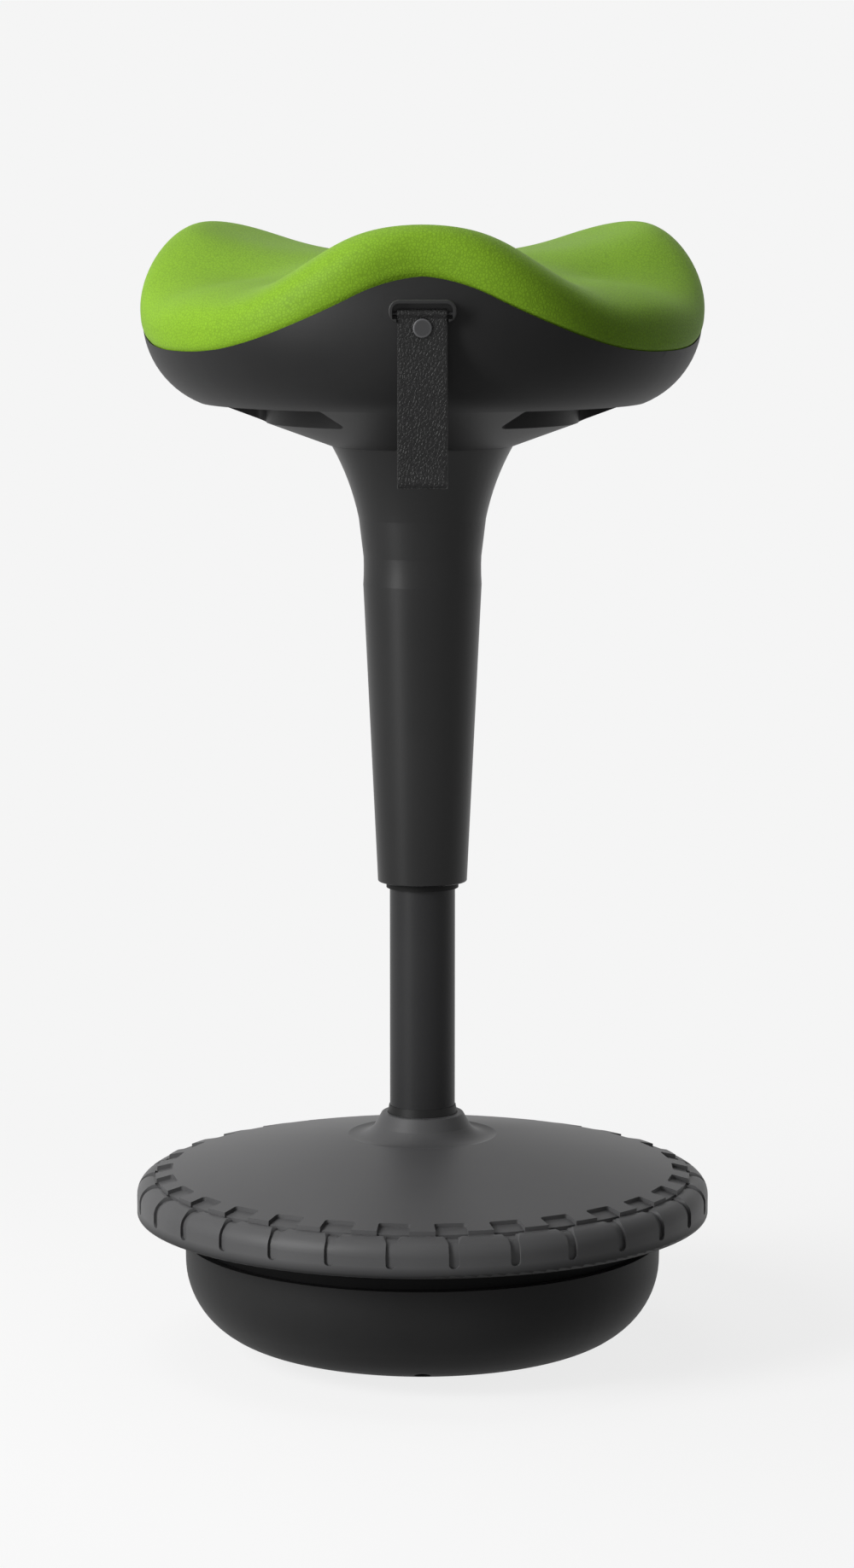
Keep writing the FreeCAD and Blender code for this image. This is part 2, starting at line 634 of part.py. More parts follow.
def neck():
    """The ring that stands in the bowl's mouth, with the ribs that tie it to the rim."""
    outer = BOWL_TOP_RADIUS - BOWL_WALL - NECK_GAP
    ring = tube(outer, outer - NECK_WALL, BOWL_HEIGHT - NECK_DEPTH, RIM_TOP)
    rib = block(outer - 1, RIM_RADIUS, -COVER_RIB_THICKNESS / 2, COVER_RIB_THICKNESS / 2,
                RIM_BOTTOM + COVER_RIB_LIFT, RIM_TOP)
    rib = rib.common(cover_zone(GROOVE_DEPTH + COVER_WALL / 4))
    return [ring] + around(rib, COVER_RIB_COUNT, FRONT)


def make_base_cover():
    """The dome with its treaded rim, collar and screw posts."""
    skin = cover_zone(0)
    shell = skin.cut(cover_hollow())
    x, y = polar(COVER_SCREW_CIRCLE, COVER_SCREW_ANGLE)
    posts = around(cylinder(COVER_POST_RADIUS, COVER_POST_BOTTOM + SEAT_GAP, RIM_TOP + RIM_SHOULDER, x, y),
                   COVER_SCREW_COUNT)
    pilot = cylinder(COVER_SCREW_RADIUS + SNUG_GAP, 0, COVER_SCREW_SEAT + COVER_SCREW_LENGTH + 2, x, y)
    body = shell.fuse(neck() + posts)
    cuts = around(pilot, COVER_SCREW_COUNT)
    cuts.append(cylinder(COLLAR_BORE, RIM_BOTTOM, COLLAR_TOP + 1))
    return body.cut(cuts).cut(tread_cuts())


def make_cover_screws():
    """The screws that come up through the bowl into the dome's posts."""
    x, y = polar(COVER_SCREW_CIRCLE, COVER_SCREW_ANGLE)
    head = cylinder(COVER_SCREW_HEAD, COVER_SCREW_SEAT - COVER_SCREW_HEAD_HEIGHT, COVER_SCREW_SEAT, x, y)
    shank = cylinder(COVER_SCREW_RADIUS, COVER_SCREW_SEAT, COVER_SCREW_SEAT + COVER_SCREW_LENGTH, x, y)
    return group(around(head.fuse(shank), COVER_SCREW_COUNT))


# Column

def make_column_tube():
    """The fixed outer tube of the column, with its floor."""
    body = tube(TUBE_RADIUS, TUBE_BORE, TUBE_BOTTOM, TUBE_TOP)
    return body.fuse(tube(TUBE_BORE + 1, TUBE_FLOOR_BORE, TUBE_BOTTOM, LOWER_RACE_Z)).removeSplitter()


def make_collar_ring():
    """The tapered seal between the tube and the dome's collar."""
    inner = TUBE_RADIUS + SNUG_GAP
    outer = COLLAR_BORE - SNUG_GAP
    bottom = COLLAR_TOP - COLLAR_RING_DEPTH
    top = COLLAR_TOP + COLLAR_RING_RISE
    return turned((inner, bottom), (outer, bottom), (outer, COLLAR_TOP - COLLAR_EDGE),
                  (inner + COLLAR_RING_LIP, top), (inner, top))


def make_guide_bush():
    """The long bush that guides the gas cylinder in the tube."""
    inner = CYLINDER_RADIUS + RUNNING_GAP
    barrel = tube(TUBE_BORE - SNUG_GAP, inner, TUBE_TOP - BUSH_LENGTH, TUBE_TOP)
    return barrel.fuse(tube(TUBE_RADIUS, inner, TUBE_TOP, TUBE_TOP + BUSH_LIP)).removeSplitter()


def ball_track():
    """The ring-shaped track that the balls run in."""
    return Part.makeTorus(RACE_TRACK_RADIUS, BALL_RADIUS + SNUG_GAP, V(0, 0, BALL_CENTRE_Z), UP)


def make_lower_race():
    """The race that rests on the tube's floor."""
    ring = tube(RACE_RADIUS, TUBE_FLOOR_BORE, LOWER_RACE_Z, LOWER_RACE_Z + RACE_THICKNESS)
    return ring.cut(ball_track())


def make_upper_race():
    """The race that turns with the rod."""
    ring = tube(RACE_RADIUS, ROD_RADIUS + SNUG_GAP, UPPER_RACE_Z, SHOULDER_Z)
    return ring.cut(ball_track())


def make_bearing_balls():
    """The balls of the thrust bearing."""
    ball = Part.makeSphere(BALL_RADIUS, V(RACE_TRACK_RADIUS, 0, BALL_CENTRE_Z))
    return group(around(ball, BALL_COUNT))


def make_bearing_cage():
    """The ring that keeps the balls apart."""
    half = CAGE_THICKNESS / 2
    bottom = BALL_CENTRE_Z - half
    top = BALL_CENTRE_Z + half
    ring = tube(RACE_TRACK_RADIUS + CAGE_RIM, RACE_TRACK_RADIUS - CAGE_RIM, bottom, top)
    pocket = cylinder(BALL_RADIUS + RUNNING_GAP, bottom - 1, top + 1, RACE_TRACK_RADIUS, 0)
    return ring.cut(around(pocket, BALL_COUNT))


def make_piston_rod():
    """The rod, from its clip groove under the floor to its piston."""
    tail = TUBE_BOTTOM - ROD_TAIL
    clip_top = TUBE_BOTTOM - RUNNING_GAP - WASHER_THICKNESS
    groove_bottom = clip_top - CLIP_THICKNESS - SNUG_GAP
    tip = PISTON_Z + PISTON_THICKNESS + PISTON_NUT_HEIGHT + 1
    return turned((0, tail), (ROD_RADIUS, tail, ROD_EDGE), (ROD_RADIUS, groove_bottom),
                  (CLIP_GROOVE_RADIUS, groove_bottom),
                  (CLIP_GROOVE_RADIUS, clip_top + SNUG_GAP), (ROD_RADIUS, clip_top + SNUG_GAP),
                  (ROD_RADIUS, SHOULDER_Z), (ROD_SHOULDER_RADIUS, SHOULDER_Z),
                  (ROD_SHOULDER_RADIUS, BUMP_STOP_Z), (ROD_RADIUS, BUMP_STOP_Z), (ROD_RADIUS, PISTON_Z),
                  (ROD_TIP_RADIUS, PISTON_Z), (ROD_TIP_RADIUS, tip), (0, tip))


def make_rod_washer():
    """The washer under the tube's floor."""
    top = TUBE_BOTTOM - RUNNING_GAP
    return tube(WASHER_RADIUS, ROD_RADIUS + SNUG_GAP, top - WASHER_THICKNESS, top)


def make_retaining_clip():
    """The clip in the rod's groove."""
    top = TUBE_BOTTOM - RUNNING_GAP - WASHER_THICKNESS
    ring = tube(CLIP_RADIUS, CLIP_GROOVE_RADIUS + SNUG_GAP, top - CLIP_THICKNESS, top)
    mouth = block(0, CLIP_RADIUS + 1, -CLIP_MOUTH / 2, CLIP_MOUTH / 2, top - CLIP_THICKNESS - 1, top + 1)
    return ring.cut(mouth)


def make_bump_stop():
    """The rubber ring that the cylinder lands on."""
    inner = ROD_RADIUS + SEAT_GAP
    top = BUMP_STOP_Z + BUMP_STOP_HEIGHT
    waist = BUMP_STOP_Z + BUMP_STOP_HEIGHT / 2
    return turned((inner, BUMP_STOP_Z), (BUMP_STOP_RADIUS, BUMP_STOP_Z, BUMP_STOP_EDGE),
                  (BUMP_STOP_RADIUS - BUMP_STOP_WAIST, waist),
                  (BUMP_STOP_RADIUS, top, BUMP_STOP_EDGE), (inner, top))


def make_piston():
    """The piston with its seal groove."""
    outer = CYLINDER_BORE - RUNNING_GAP
    middle = PISTON_Z + PISTON_THICKNESS / 2
    ring = PISTON_RING_WIDTH / 2
    inner = ROD_TIP_RADIUS + SNUG_GAP
    top = PISTON_Z + PISTON_THICKNESS
    return turned((inner, PISTON_Z), (outer, PISTON_Z, PISTON_EDGE), (outer, middle - ring),
                  (outer - PISTON_RING_DEPTH, middle - ring), (outer - PISTON_RING_DEPTH, middle + ring),
                  (outer, middle + ring), (outer, top, PISTON_EDGE), (inner, top))


def make_piston_seal():
    """The seal in the piston's groove."""
    outer = CYLINDER_BORE - RUNNING_GAP / 2
    middle = PISTON_Z + PISTON_THICKNESS / 2
    ring = PISTON_RING_WIDTH / 2 - SNUG_GAP
    inner = CYLINDER_BORE - RUNNING_GAP - PISTON_RING_DEPTH + SNUG_GAP
    return tube(outer, inner, middle - ring, middle + ring)


def make_piston_nut():
    """The nut that holds the piston on the rod."""
    bottom = PISTON_Z + PISTON_THICKNESS
    nut = hexagon(PISTON_NUT_RADIUS, bottom, bottom + PISTON_NUT_HEIGHT)
    return nut.cut(cylinder(ROD_TIP_RADIUS + SNUG_GAP, bottom - 1, bottom + PISTON_NUT_HEIGHT + 1))


# Gas cylinder

def cylinder_form(gap):
    """The cylinder's outside with its tapered top, made larger by a gap to cut its socket."""
    taper = CYLINDER_TOP - CYLINDER_TAPER_LENGTH
    return turned((0, CYLINDER_BOTTOM), (CYLINDER_RADIUS + gap, CYLINDER_BOTTOM, CYLINDER_EDGE),
                  (CYLINDER_RADIUS + gap, taper),
                  (CYLINDER_TOP_RADIUS + gap, CYLINDER_TOP, CYLINDER_TOP_EDGE), (0, CYLINDER_TOP))


def make_gas_cylinder():
    """The pressure cylinder with its tapered top."""
    body = cylinder_form(0)
    bore = cylinder(CYLINDER_BORE, CYLINDER_BOTTOM + CYLINDER_LIP, CYLINDER_TOP - CYLINDER_TOP_WALL)
    mouth = cylinder(CYLINDER_LIP_BORE, CYLINDER_BOTTOM - 1, CYLINDER_BOTTOM + CYLINDER_LIP + 1)
    port = cylinder(VALVE_PIN_RADIUS + RUNNING_GAP, CYLINDER_TOP - CYLINDER_TOP_WALL - 1, CYLINDER_TOP + 1)
    return body.cut([bore, mouth, port])


def make_rod_guide():
    """The guide and seal block in the cylinder's mouth."""
    bottom = CYLINDER_BOTTOM + CYLINDER_LIP
    return tube(CYLINDER_BORE - SNUG_GAP, ROD_RADIUS + RUNNING_GAP, bottom, bottom + ROD_GUIDE_LENGTH)


def make_valve_body():
    """The block that holds the valve under the cylinder's top."""
    top = CYLINDER_TOP - CYLINDER_TOP_WALL
    return tube(CYLINDER_BORE - SNUG_GAP, VALVE_PIN_RADIUS + RUNNING_GAP, top - VALVE_BODY_LENGTH, top)


def make_valve_pin():
    """The pin that the lever presses."""
    top = LEVER_Z - LEVER_ROD_RADIUS - SEAT_GAP
    neck_z = top - VALVE_BUTTON_HEIGHT
    return turned((0, top - VALVE_PIN_LENGTH), (VALVE_PIN_RADIUS, top - VALVE_PIN_LENGTH, VALVE_PIN_EDGE),
                  (VALVE_PIN_RADIUS, neck_z), (VALVE_BUTTON_RADIUS, neck_z),
                  (VALVE_BUTTON_RADIUS, top, VALVE_PIN_EDGE), (0, top))


# Sleeve

def make_column_sleeve():
    """The flared sleeve that hooks into the shell and hides the cylinder."""
    wall = SLEEVE_WALL
    neck_top = SLEEVE_TOP + SHELL_WALL + SLEEVE_NECK_HEIGHT
    body = turned((SLEEVE_BOTTOM_RADIUS - wall, SLEEVE_BOTTOM),
                  (SLEEVE_BOTTOM_RADIUS, SLEEVE_BOTTOM, SLEEVE_EDGE),
                  (SLEEVE_WAIST_RADIUS, SLEEVE_WAIST_HEIGHT),
                  ("bow", SLEEVE_FLARE_RADIUS, SLEEVE_FLARE_HEIGHT),
                  (SLEEVE_TOP_RADIUS, SLEEVE_TOP - SNUG_GAP), (SLEEVE_NECK_RADIUS, SLEEVE_TOP - SNUG_GAP),
                  (SLEEVE_NECK_RADIUS, neck_top), (SLEEVE_NECK_RADIUS - wall, neck_top),
                  (SLEEVE_NECK_RADIUS - wall, SLEEVE_TOP - wall),
                  ("bow", SLEEVE_FLARE_RADIUS - wall, SLEEVE_FLARE_HEIGHT - 2 * wall),
                  (SLEEVE_WAIST_RADIUS - wall, SLEEVE_WAIST_HEIGHT),
                  (SLEEVE_BOTTOM_RADIUS - wall, SLEEVE_BOTTOM + GLIDE_HEIGHT))
    rim_z = SLEEVE_TOP + neck_lift() + SNUG_GAP
    hook = sector(SLEEVE_NECK_RADIUS + SLEEVE_HOOK_REACH, SLEEVE_NECK_RADIUS - wall, rim_z,
                  rim_z + SLEEVE_HOOK_HEIGHT, 0, SLEEVE_HOOK_ANGLE / 2)
    return body.fuse(around(hook, SLEEVE_HOOK_COUNT, SLEEVE_HOOK_START))


def neck_lift():
    """How far above the sleeve's top the shell's inner face lies at its hole."""
    slope = cone_slope()
    reach = SLEEVE_NECK_RADIUS + SLEEVE_HOOK_REACH - SLEEVE_TOP_RADIUS
    return SHELL_WALL / math.cos(slope) + max(0.0, reach * math.tan(slope)) + SEAT_GAP


def make_sleeve_glide():
    """The ring in the sleeve's mouth that keeps it off the tube."""
    outer = SLEEVE_BOTTOM_RADIUS - SLEEVE_WALL - SNUG_GAP
    inner = TUBE_RADIUS + RUNNING_GAP
    body = tube(outer, inner, SLEEVE_BOTTOM, SLEEVE_BOTTOM + GLIDE_HEIGHT - 1)
    lip = tube(GLIDE_LIP_RADIUS, inner, SLEEVE_BOTTOM - GLIDE_LIP_HEIGHT, SLEEVE_BOTTOM)
    return body.fuse(lip).removeSplitter()


# Bracket, board and lever

def make_seat_bracket():
    """The pressed channel with the taper socket and the lever's ears."""
    half = BRACKET_WIDTH / 2
    pan = PAN_WIDTH / 2
    wall = BRACKET_THICKNESS
    floor = PAN_FLOOR_TOP - wall
    under = BOARD_BOTTOM - wall
    bend = BRACKET_BEND
    stops = ((-half, BOARD_BOTTOM), (-half, under), (-pan, under, bend), (-pan, floor, bend + wall),
             (pan, floor, bend + wall), (pan, under, bend), (half, under), (half, BOARD_BOTTOM),
             (pan - wall, BOARD_BOTTOM, bend + wall), (pan - wall, PAN_FLOOR_TOP, bend),
             (-pan + wall, PAN_FLOOR_TOP, bend), (-pan + wall, BOARD_BOTTOM, bend + wall))
    channel = drawn(stops, lambda a, b: V(a, -BRACKET_LENGTH / 2, b), V(0, BRACKET_LENGTH, 0))
    socket = cylinder(SOCKET_RADIUS, floor - SOCKET_LENGTH, floor + 1)
    body = channel.fuse([socket] + bracket_ears())
    cuts = [cylinder_form(SNUG_GAP)]
    for x, y in bolt_places():
        cuts.append(cylinder(BRACKET_BOLT_RADIUS + SEAT_GAP, under - 1, BOARD_BOTTOM + 1, x, y))
    return body.cut(cuts).cut(lever_pin_shape(RUNNING_GAP / 2))


def bracket_ears():
    """The two ears that stand on the pan's floor and hold the lever's pin."""
    inner = LEVER_HUB_WIDTH / 2 + SEAT_GAP
    ears = []
    for side in (-1, 1):
        x0, x1 = sorted((side * inner, side * (inner + EAR_THICKNESS)))
        ears.append(block(x0, x1, LEVER_PIVOT_Y - EAR_HALF_LENGTH, LEVER_PIVOT_Y + EAR_HALF_LENGTH,
                          PAN_FLOOR_TOP - 1, LEVER_Z + EAR_RISE))
    return ears


def bolt_places():
    """The centres of the four bracket bolts."""
    x = BRACKET_BOLT_SPACING_X / 2
    y = BRACKET_BOLT_SPACING_Y / 2
    return [(-x, -y), (x, -y), (x, y), (-x, y)]


def make_bracket_bolts():
    """The bolts that hold the bracket under the board."""
    bolts = []
    under = BOARD_BOTTOM - BRACKET_THICKNESS
    for x, y in bolt_places():
        head = hexagon(BRACKET_BOLT_HEAD, under - BRACKET_BOLT_HEAD_HEIGHT, under, x, y)
        bolts.append(head.fuse(cylinder(BRACKET_BOLT_RADIUS, under, BOARD_TOP - BRACKET_BOLT_TIP, x, y)))
    return group(bolts)


def make_tee_nuts():
    """The flanged nuts let into the board's top."""
    nuts = []
    for x, y in bolt_places():
        barrel = cylinder(TEE_NUT_RADIUS, BOARD_TOP - TEE_NUT_LENGTH, BOARD_TOP, x, y)
        flange = cylinder(TEE_NUT_FLANGE_RADIUS, BOARD_TOP - TEE_NUT_FLANGE_THICKNESS, BOARD_TOP, x, y)
        hole = cylinder(BRACKET_BOLT_RADIUS + SNUG_GAP, BOARD_BOTTOM, BOARD_TOP + 1, x, y)
        nuts.append(barrel.fuse(flange).cut(hole))
    return group(nuts)


def make_seat_board():
    """The plywood disc under the cushion."""
    board = turned((0, BOARD_BOTTOM), (BOARD_RADIUS, BOARD_BOTTOM, BOARD_EDGE),
                   (BOARD_RADIUS, BOARD_TOP, BOARD_EDGE), (0, BOARD_TOP))
    cuts = []
    for x, y in bolt_places():
        cuts.append(cylinder(BRACKET_BOLT_RADIUS + SEAT_GAP, BOARD_BOTTOM - 1, BOARD_TOP, x, y))
        barrel_bottom = BOARD_TOP - TEE_NUT_LENGTH - SNUG_GAP
        flange_bottom = BOARD_TOP - TEE_NUT_FLANGE_THICKNESS - SNUG_GAP
        cuts.append(cylinder(TEE_NUT_RADIUS + SNUG_GAP, barrel_bottom, BOARD_TOP + 1, x, y))
        cuts.append(cylinder(TEE_NUT_FLANGE_RADIUS + SNUG_GAP, flange_bottom, BOARD_TOP + 1, x, y))
    for x, y in shell_screw_places():
        cuts.append(cylinder(SHELL_SCREW_RADIUS + SNUG_GAP, BOARD_BOTTOM - 1, BOARD_TOP - 1, x, y))
    return board.cut(cuts)


def lever_pin_shape(gap):
    """The lever's pin, made larger by a gap when it is used to cut its holes."""
    reach = LEVER_HUB_WIDTH / 2 + SEAT_GAP + EAR_THICKNESS
    x = V(1, 0, 0)
    start = V(-reach, LEVER_PIVOT_Y, LEVER_Z)
    shank = Part.makeCylinder(LEVER_PIN_RADIUS + gap, 2 * reach + LEVER_PIN_HEAD_THICKNESS, start, x)
    head_start = start - x * LEVER_PIN_HEAD_THICKNESS
    head = Part.makeCylinder(LEVER_PIN_HEAD + gap, LEVER_PIN_HEAD_THICKNESS, head_start, x)
    return shank.fuse(head)


def make_lever_pin():
    """The pin that the lever tips on."""
    return lever_pin_shape(0)


def make_release_lever():
    """The rod that reaches from the valve to the back scoop."""
    along = V(0, 1, 0)
    length = PADDLE_INNER_Y + PADDLE_SOCKET + LEVER_TAIL
    rod = Part.makeCylinder(LEVER_ROD_RADIUS, length, V(0, -LEVER_TAIL, LEVER_Z), along)
    across = V(1, 0, 0)
    hub_start = V(-LEVER_HUB_WIDTH / 2, LEVER_PIVOT_Y, LEVER_Z)
    hub = Part.makeCylinder(LEVER_HUB_RADIUS, LEVER_HUB_WIDTH, hub_start, across)
    hole_start = V(-LEVER_HUB_WIDTH, LEVER_PIVOT_Y, LEVER_Z)
    hole = Part.makeCylinder(LEVER_PIN_RADIUS + RUNNING_GAP, 2 * LEVER_HUB_WIDTH, hole_start, across)
    return rod.fuse(hub).cut(hole)


def make_lever_paddle():
    """The finger pad on the lever's end."""
    half = PADDLE_WIDTH / 2
    bottom = LEVER_Z - PADDLE_THICKNESS / 2
    sides = PADDLE_OUTER_Y - PADDLE_BOW
    stops = ((-half, PADDLE_INNER_Y, PADDLE_CORNER), (half, PADDLE_INNER_Y, PADDLE_CORNER),
             (half, sides, PADDLE_CORNER), ("bow", 0, PADDLE_OUTER_Y), (-half, sides, PADDLE_CORNER))
    body = drawn(stops, lambda a, b: V(a, b, bottom), V(0, 0, PADDLE_THICKNESS))
    body = body.makeFillet(PADDLE_EDGE, [e for e in body.Edges if e.BoundBox.ZLength < 0.01])
    socket_start = V(0, PADDLE_INNER_Y - 1, LEVER_Z)
    socket = Part.makeCylinder(LEVER_ROD_RADIUS + SNUG_GAP, PADDLE_SOCKET + 1, socket_start, V(0, 1, 0))
    return body.cut(socket)


# Shell

def cone_slope():
    """The angle of the shell's underside above the level."""
    rise = SHELL_BORDER_HEIGHT - SLEEVE_TOP
    return math.atan2(rise, side_radius(SHELL_BORDER_HEIGHT) - SHELL_LEDGE - SLEEVE_TOP_RADIUS)


def side_radius(height, inset=0.0):
    """The radius of the shell's side at a height, moved in by an inset."""
    arc = SHELL_SIDE_ARC - inset
    return SIDE_ARC_CENTRE + math.sqrt(max(0.0, arc ** 2 - (height - BELLY_HEIGHT) ** 2))


def shell_zone(inset):
    """Everything inside the shell's outer face, moved in by an inset."""
    slope = cone_slope()
    arc = SHELL_SIDE_ARC - inset
    lift = inset / math.cos(slope)
    bottom = SLEEVE_TOP + lift
    low = SHELL_BORDER_HEIGHT + inset
    border = side_radius(low, inset)
    tangent = math.tan(slope)
    inner = SLEEVE_TOP_RADIUS + (low - bottom) / tangent
    roof_angle = math.asin((SHELL_ROOF - BELLY_HEIGHT) / SHELL_SIDE_ARC)
    top = BELLY_HEIGHT + arc * math.sin(roof_angle)
    top_radius = SIDE_ARC_CENTRE + arc * math.cos(roof_angle)
    bow = math.radians(SHELL_BOW_ANGLE)
    bow_radius = SIDE_ARC_CENTRE + arc * math.cos(bow)
    bow_height = BELLY_HEIGHT - arc * math.sin(bow)
    return turned((0, bottom), (SLEEVE_TOP_RADIUS, bottom), (inner, low), (border, low),
                  ("bow", bow_radius, bow_height), (top_radius, top), (0, top))


def seam_height(angle):
    """The height of the seam at an azimuth in degrees."""
    wave = LOBE_COUNT * math.radians(angle - FRONT)
    return (SEAM_HEIGHT + SEAM_WAVE * math.cos(wave) + SEAM_RIPPLE * math.cos(2 * wave)
            + SEAM_THIRD * math.cos(3 * wave) + SEAM_FOURTH * math.cos(4 * wave))


def wavy_ring(radius_at, height_at):
    """A closed ring of arcs through points that follow two functions of the azimuth."""
    step = 360.0 / RING_ARCS

    def point(angle):
        x, y = polar(radius_at(angle), angle)
        return V(x, y, height_at(angle))

    arcs = []
    for i in range(RING_ARCS):
        start = FRONT + i * step
        arcs.append(Part.Arc(point(start), point(start + step / 2), point(start + step)).toShape())
    return Part.Wire(arcs)


def above_seam():
    """Everything above the shell's wavy edge."""
    edge = SEAM_GAP / 2
    far = BELLY_RADIUS + 20
    near = SCOOP_OUTER_RADIUS
    low = SEAM_HEIGHT
    rings = [wavy_ring(lambda a: DISH_FLAT_RADIUS, lambda a: low),
             wavy_ring(lambda a: near, lambda a: seam_height(a) - edge),
             wavy_ring(lambda a: far, lambda a: seam_height(a) - edge),
             wavy_ring(lambda a: far, lambda a: SHELL_ROOF + 20)]
    return Part.makeLoft(rings, True, True)


def shell_screw_places():
    """The centres of the screws in the ceilings of the scoops."""
    places = []
    for i in range(SCOOP_COUNT):
        middle = scoop_middle(i)
        places.append(polar(SHELL_SCREW_CIRCLE, middle - SHELL_SCREW_SPREAD))
        places.append(polar(SHELL_SCREW_CIRCLE, middle + SHELL_SCREW_SPREAD))
    return places


def scoop_middle(index):
    """The azimuth of a scoop. The first is at the back, under a low part of the seam."""
    return BACK + 360.0 * index / SCOOP_COUNT


def scoop_void(index):
    """The space of one finger scoop."""
    void = sector(SCOOP_OUTER_RADIUS, SCOOP_INNER_RADIUS, SLEEVE_TOP - 10, SCOOP_CEILING, scoop_middle(index),
                  SCOOP_HALF_ANGLE)
    return void.makeFillet(SCOOP_CORNER, [e for e in void.Edges if is_upright(e)])


def is_upright(edge):
    """Whether an edge runs straight up."""
    box = edge.BoundBox
    return box.ZLength > 1 and box.DiagonalLength < box.ZLength + 1


def make_seat_shell():
    """The moulded shell with its wavy edge and three finger scoops."""
    outer = shell_zone(0)
    walls = outer.cut(shell_zone(SHELL_WALL))
    extra_angle = math.degrees(SCOOP_WALL / SCOOP_INNER_RADIUS)
    blocks = []
    for i in range(SCOOP_COUNT):
        box = sector(SCOOP_OUTER_RADIUS + SCOOP_WALL, SCOOP_INNER_RADIUS - SCOOP_WALL, SLEEVE_TOP,
                     SCOOP_CEILING + SCOOP_WALL, scoop_middle(i), SCOOP_HALF_ANGLE + extra_angle)
        blocks.append(box.common(outer))
    for x, y in shell_screw_places():
        blocks.append(cylinder(SHELL_BOSS_RADIUS, SCOOP_CEILING, BOARD_BOTTOM, x, y))
    blocks.append(frame_boss().common(outer))
    shell = walls.fuse(blocks)
    cuts = [scoop_void(i) for i in range(SCOOP_COUNT)]
    for x, y in shell_screw_places():
        cuts.append(cylinder(SHELL_SCREW_RADIUS + SEAT_GAP, SCOOP_CEILING - 1, BOARD_BOTTOM + 1, x, y))
    cuts.append(cylinder(SLEEVE_NECK_RADIUS + SEAT_GAP, SLEEVE_TOP - 1, BOARD_BOTTOM))
    cuts.append(lever_slot())
    cuts.append(frame_block(SNUG_GAP, frame_back_y() + SNUG_GAP))
    return shell.cut(cuts).cut(above_seam()).removeSplitter()


def lever_slot():
    """The slot in the back scoop's inner wall that the lever's rod moves in."""
    half = LEVER_ROD_RADIUS + 2 * LOOSE_GAP
    return block(-half, half, SCOOP_INNER_RADIUS - 2 * SCOOP_WALL, SCOOP_INNER_RADIUS + SCOOP_WALL,
                 LEVER_Z - half, SCOOP_CEILING)


def make_shell_screws():
    """The screws through the scoops' ceilings into the board."""
    screws = []
    for x, y in shell_screw_places():
        head = cylinder(SHELL_SCREW_HEAD, SCOOP_CEILING - SHELL_SCREW_HEAD_HEIGHT, SCOOP_CEILING, x, y)
        shank = cylinder(SHELL_SCREW_RADIUS, SCOOP_CEILING, SCOOP_CEILING + SHELL_SCREW_LENGTH, x, y)
        screws.append(head.fuse(shank))
    return group(screws)


# Cushion

def crest_height(angle):
    """The height of the cushion's crest at an azimuth in degrees."""
    wave = LOBE_COUNT * math.radians(angle - FRONT)
    return (CREST_HEIGHT + CREST_WAVE * math.cos(wave) + CREST_RIPPLE * math.cos(2 * wave)
            + CREST_THIRD * math.cos(3 * wave))


def crest_radius(angle):
    """The radius of the cushion's crest at an azimuth in degrees."""
    return CREST_RADIUS + CREST_RADIUS_WAVE * math.cos(LOBE_COUNT * math.radians(angle - FRONT))


def side_curve(angle, share):
    """The radius and height on the cushion's rounded side, from the seam at 0 to the crest at 1."""
    low = seam_height(angle) + SEAM_GAP / 2
    top = crest_height(angle)
    foot = side_radius(low)
    crest = crest_radius(angle)
    belly = low + CUSHION_BELLY_SHARE * (top - low)
    handles = ((foot, low), (foot + CUSHION_BULGE, belly),
               (foot + CUSHION_BROW_SHARE * CUSHION_BULGE, top), (crest, top))
    rest = 1 - share
    weights = (rest ** 3, 3 * share * rest ** 2, 3 * share ** 2 * rest, share ** 3)
    radius = sum(w * h[0] for w, h in zip(weights, handles))
    height = sum(w * h[1] for w, h in zip(weights, handles))
    return radius, height


def side_ring(share):
    """A ring on the cushion's rounded side."""
    return wavy_ring(lambda a: side_curve(a, share)[0], lambda a: side_curve(a, share)[1])


def dish_ring(share):
    """A ring on the cushion's hollow top, from the middle at 0 to the crest at 1."""
    return wavy_ring(lambda a: share * crest_radius(a),
                     lambda a: DISH_HEIGHT + (crest_height(a) - DISH_HEIGHT) * share ** 2)


def tuck_ring(drop):
    """A ring inside the shell, a little under the seam."""
    return wavy_ring(lambda a: side_radius(seam_height(a) - drop, SHELL_WALL) - SEAM_GAP / 2,
                     lambda a: seam_height(a) - drop)


def make_seat_cushion():
    """The three-lobed foam cushion with its hollow top."""
    foot = wavy_ring(lambda a: CUSHION_FOOT_RADIUS, lambda a: BOARD_TOP + SEAT_GAP)
    lip = side_ring(0.0)
    middle = wavy_ring(lambda a: DISH_FLAT_RADIUS, lambda a: DISH_HEIGHT)
    lower = Part.makeLoft([foot, tuck_ring(CUSHION_TUCK), tuck_ring(0.0), lip], False, True)
    rings = [lip] + [side_ring(s) for s in SIDE_RINGS] + [dish_ring(s) for s in DISH_RINGS] + [middle]
    crown = Part.makeLoft(rings, False, False)
    faces = lower.Faces + crown.Faces + [Part.Face(foot), Part.Face(middle)]
    skin = Part.makeShell(faces)
    skin.sewShape()
    solid = Part.Solid(skin.Shells[0] if skin.Shells else skin)
    if solid.Volume < 0:
        solid.reverse()
    return solid


# Strap

def frame_back_y():
    """The flat seat of the strap's frame, cut into the front of the shell."""
    return BAR_Y + STRAP_BAR_RADIUS + STRAP_LAYER + SEAT_GAP + FRAME_BACK + 1


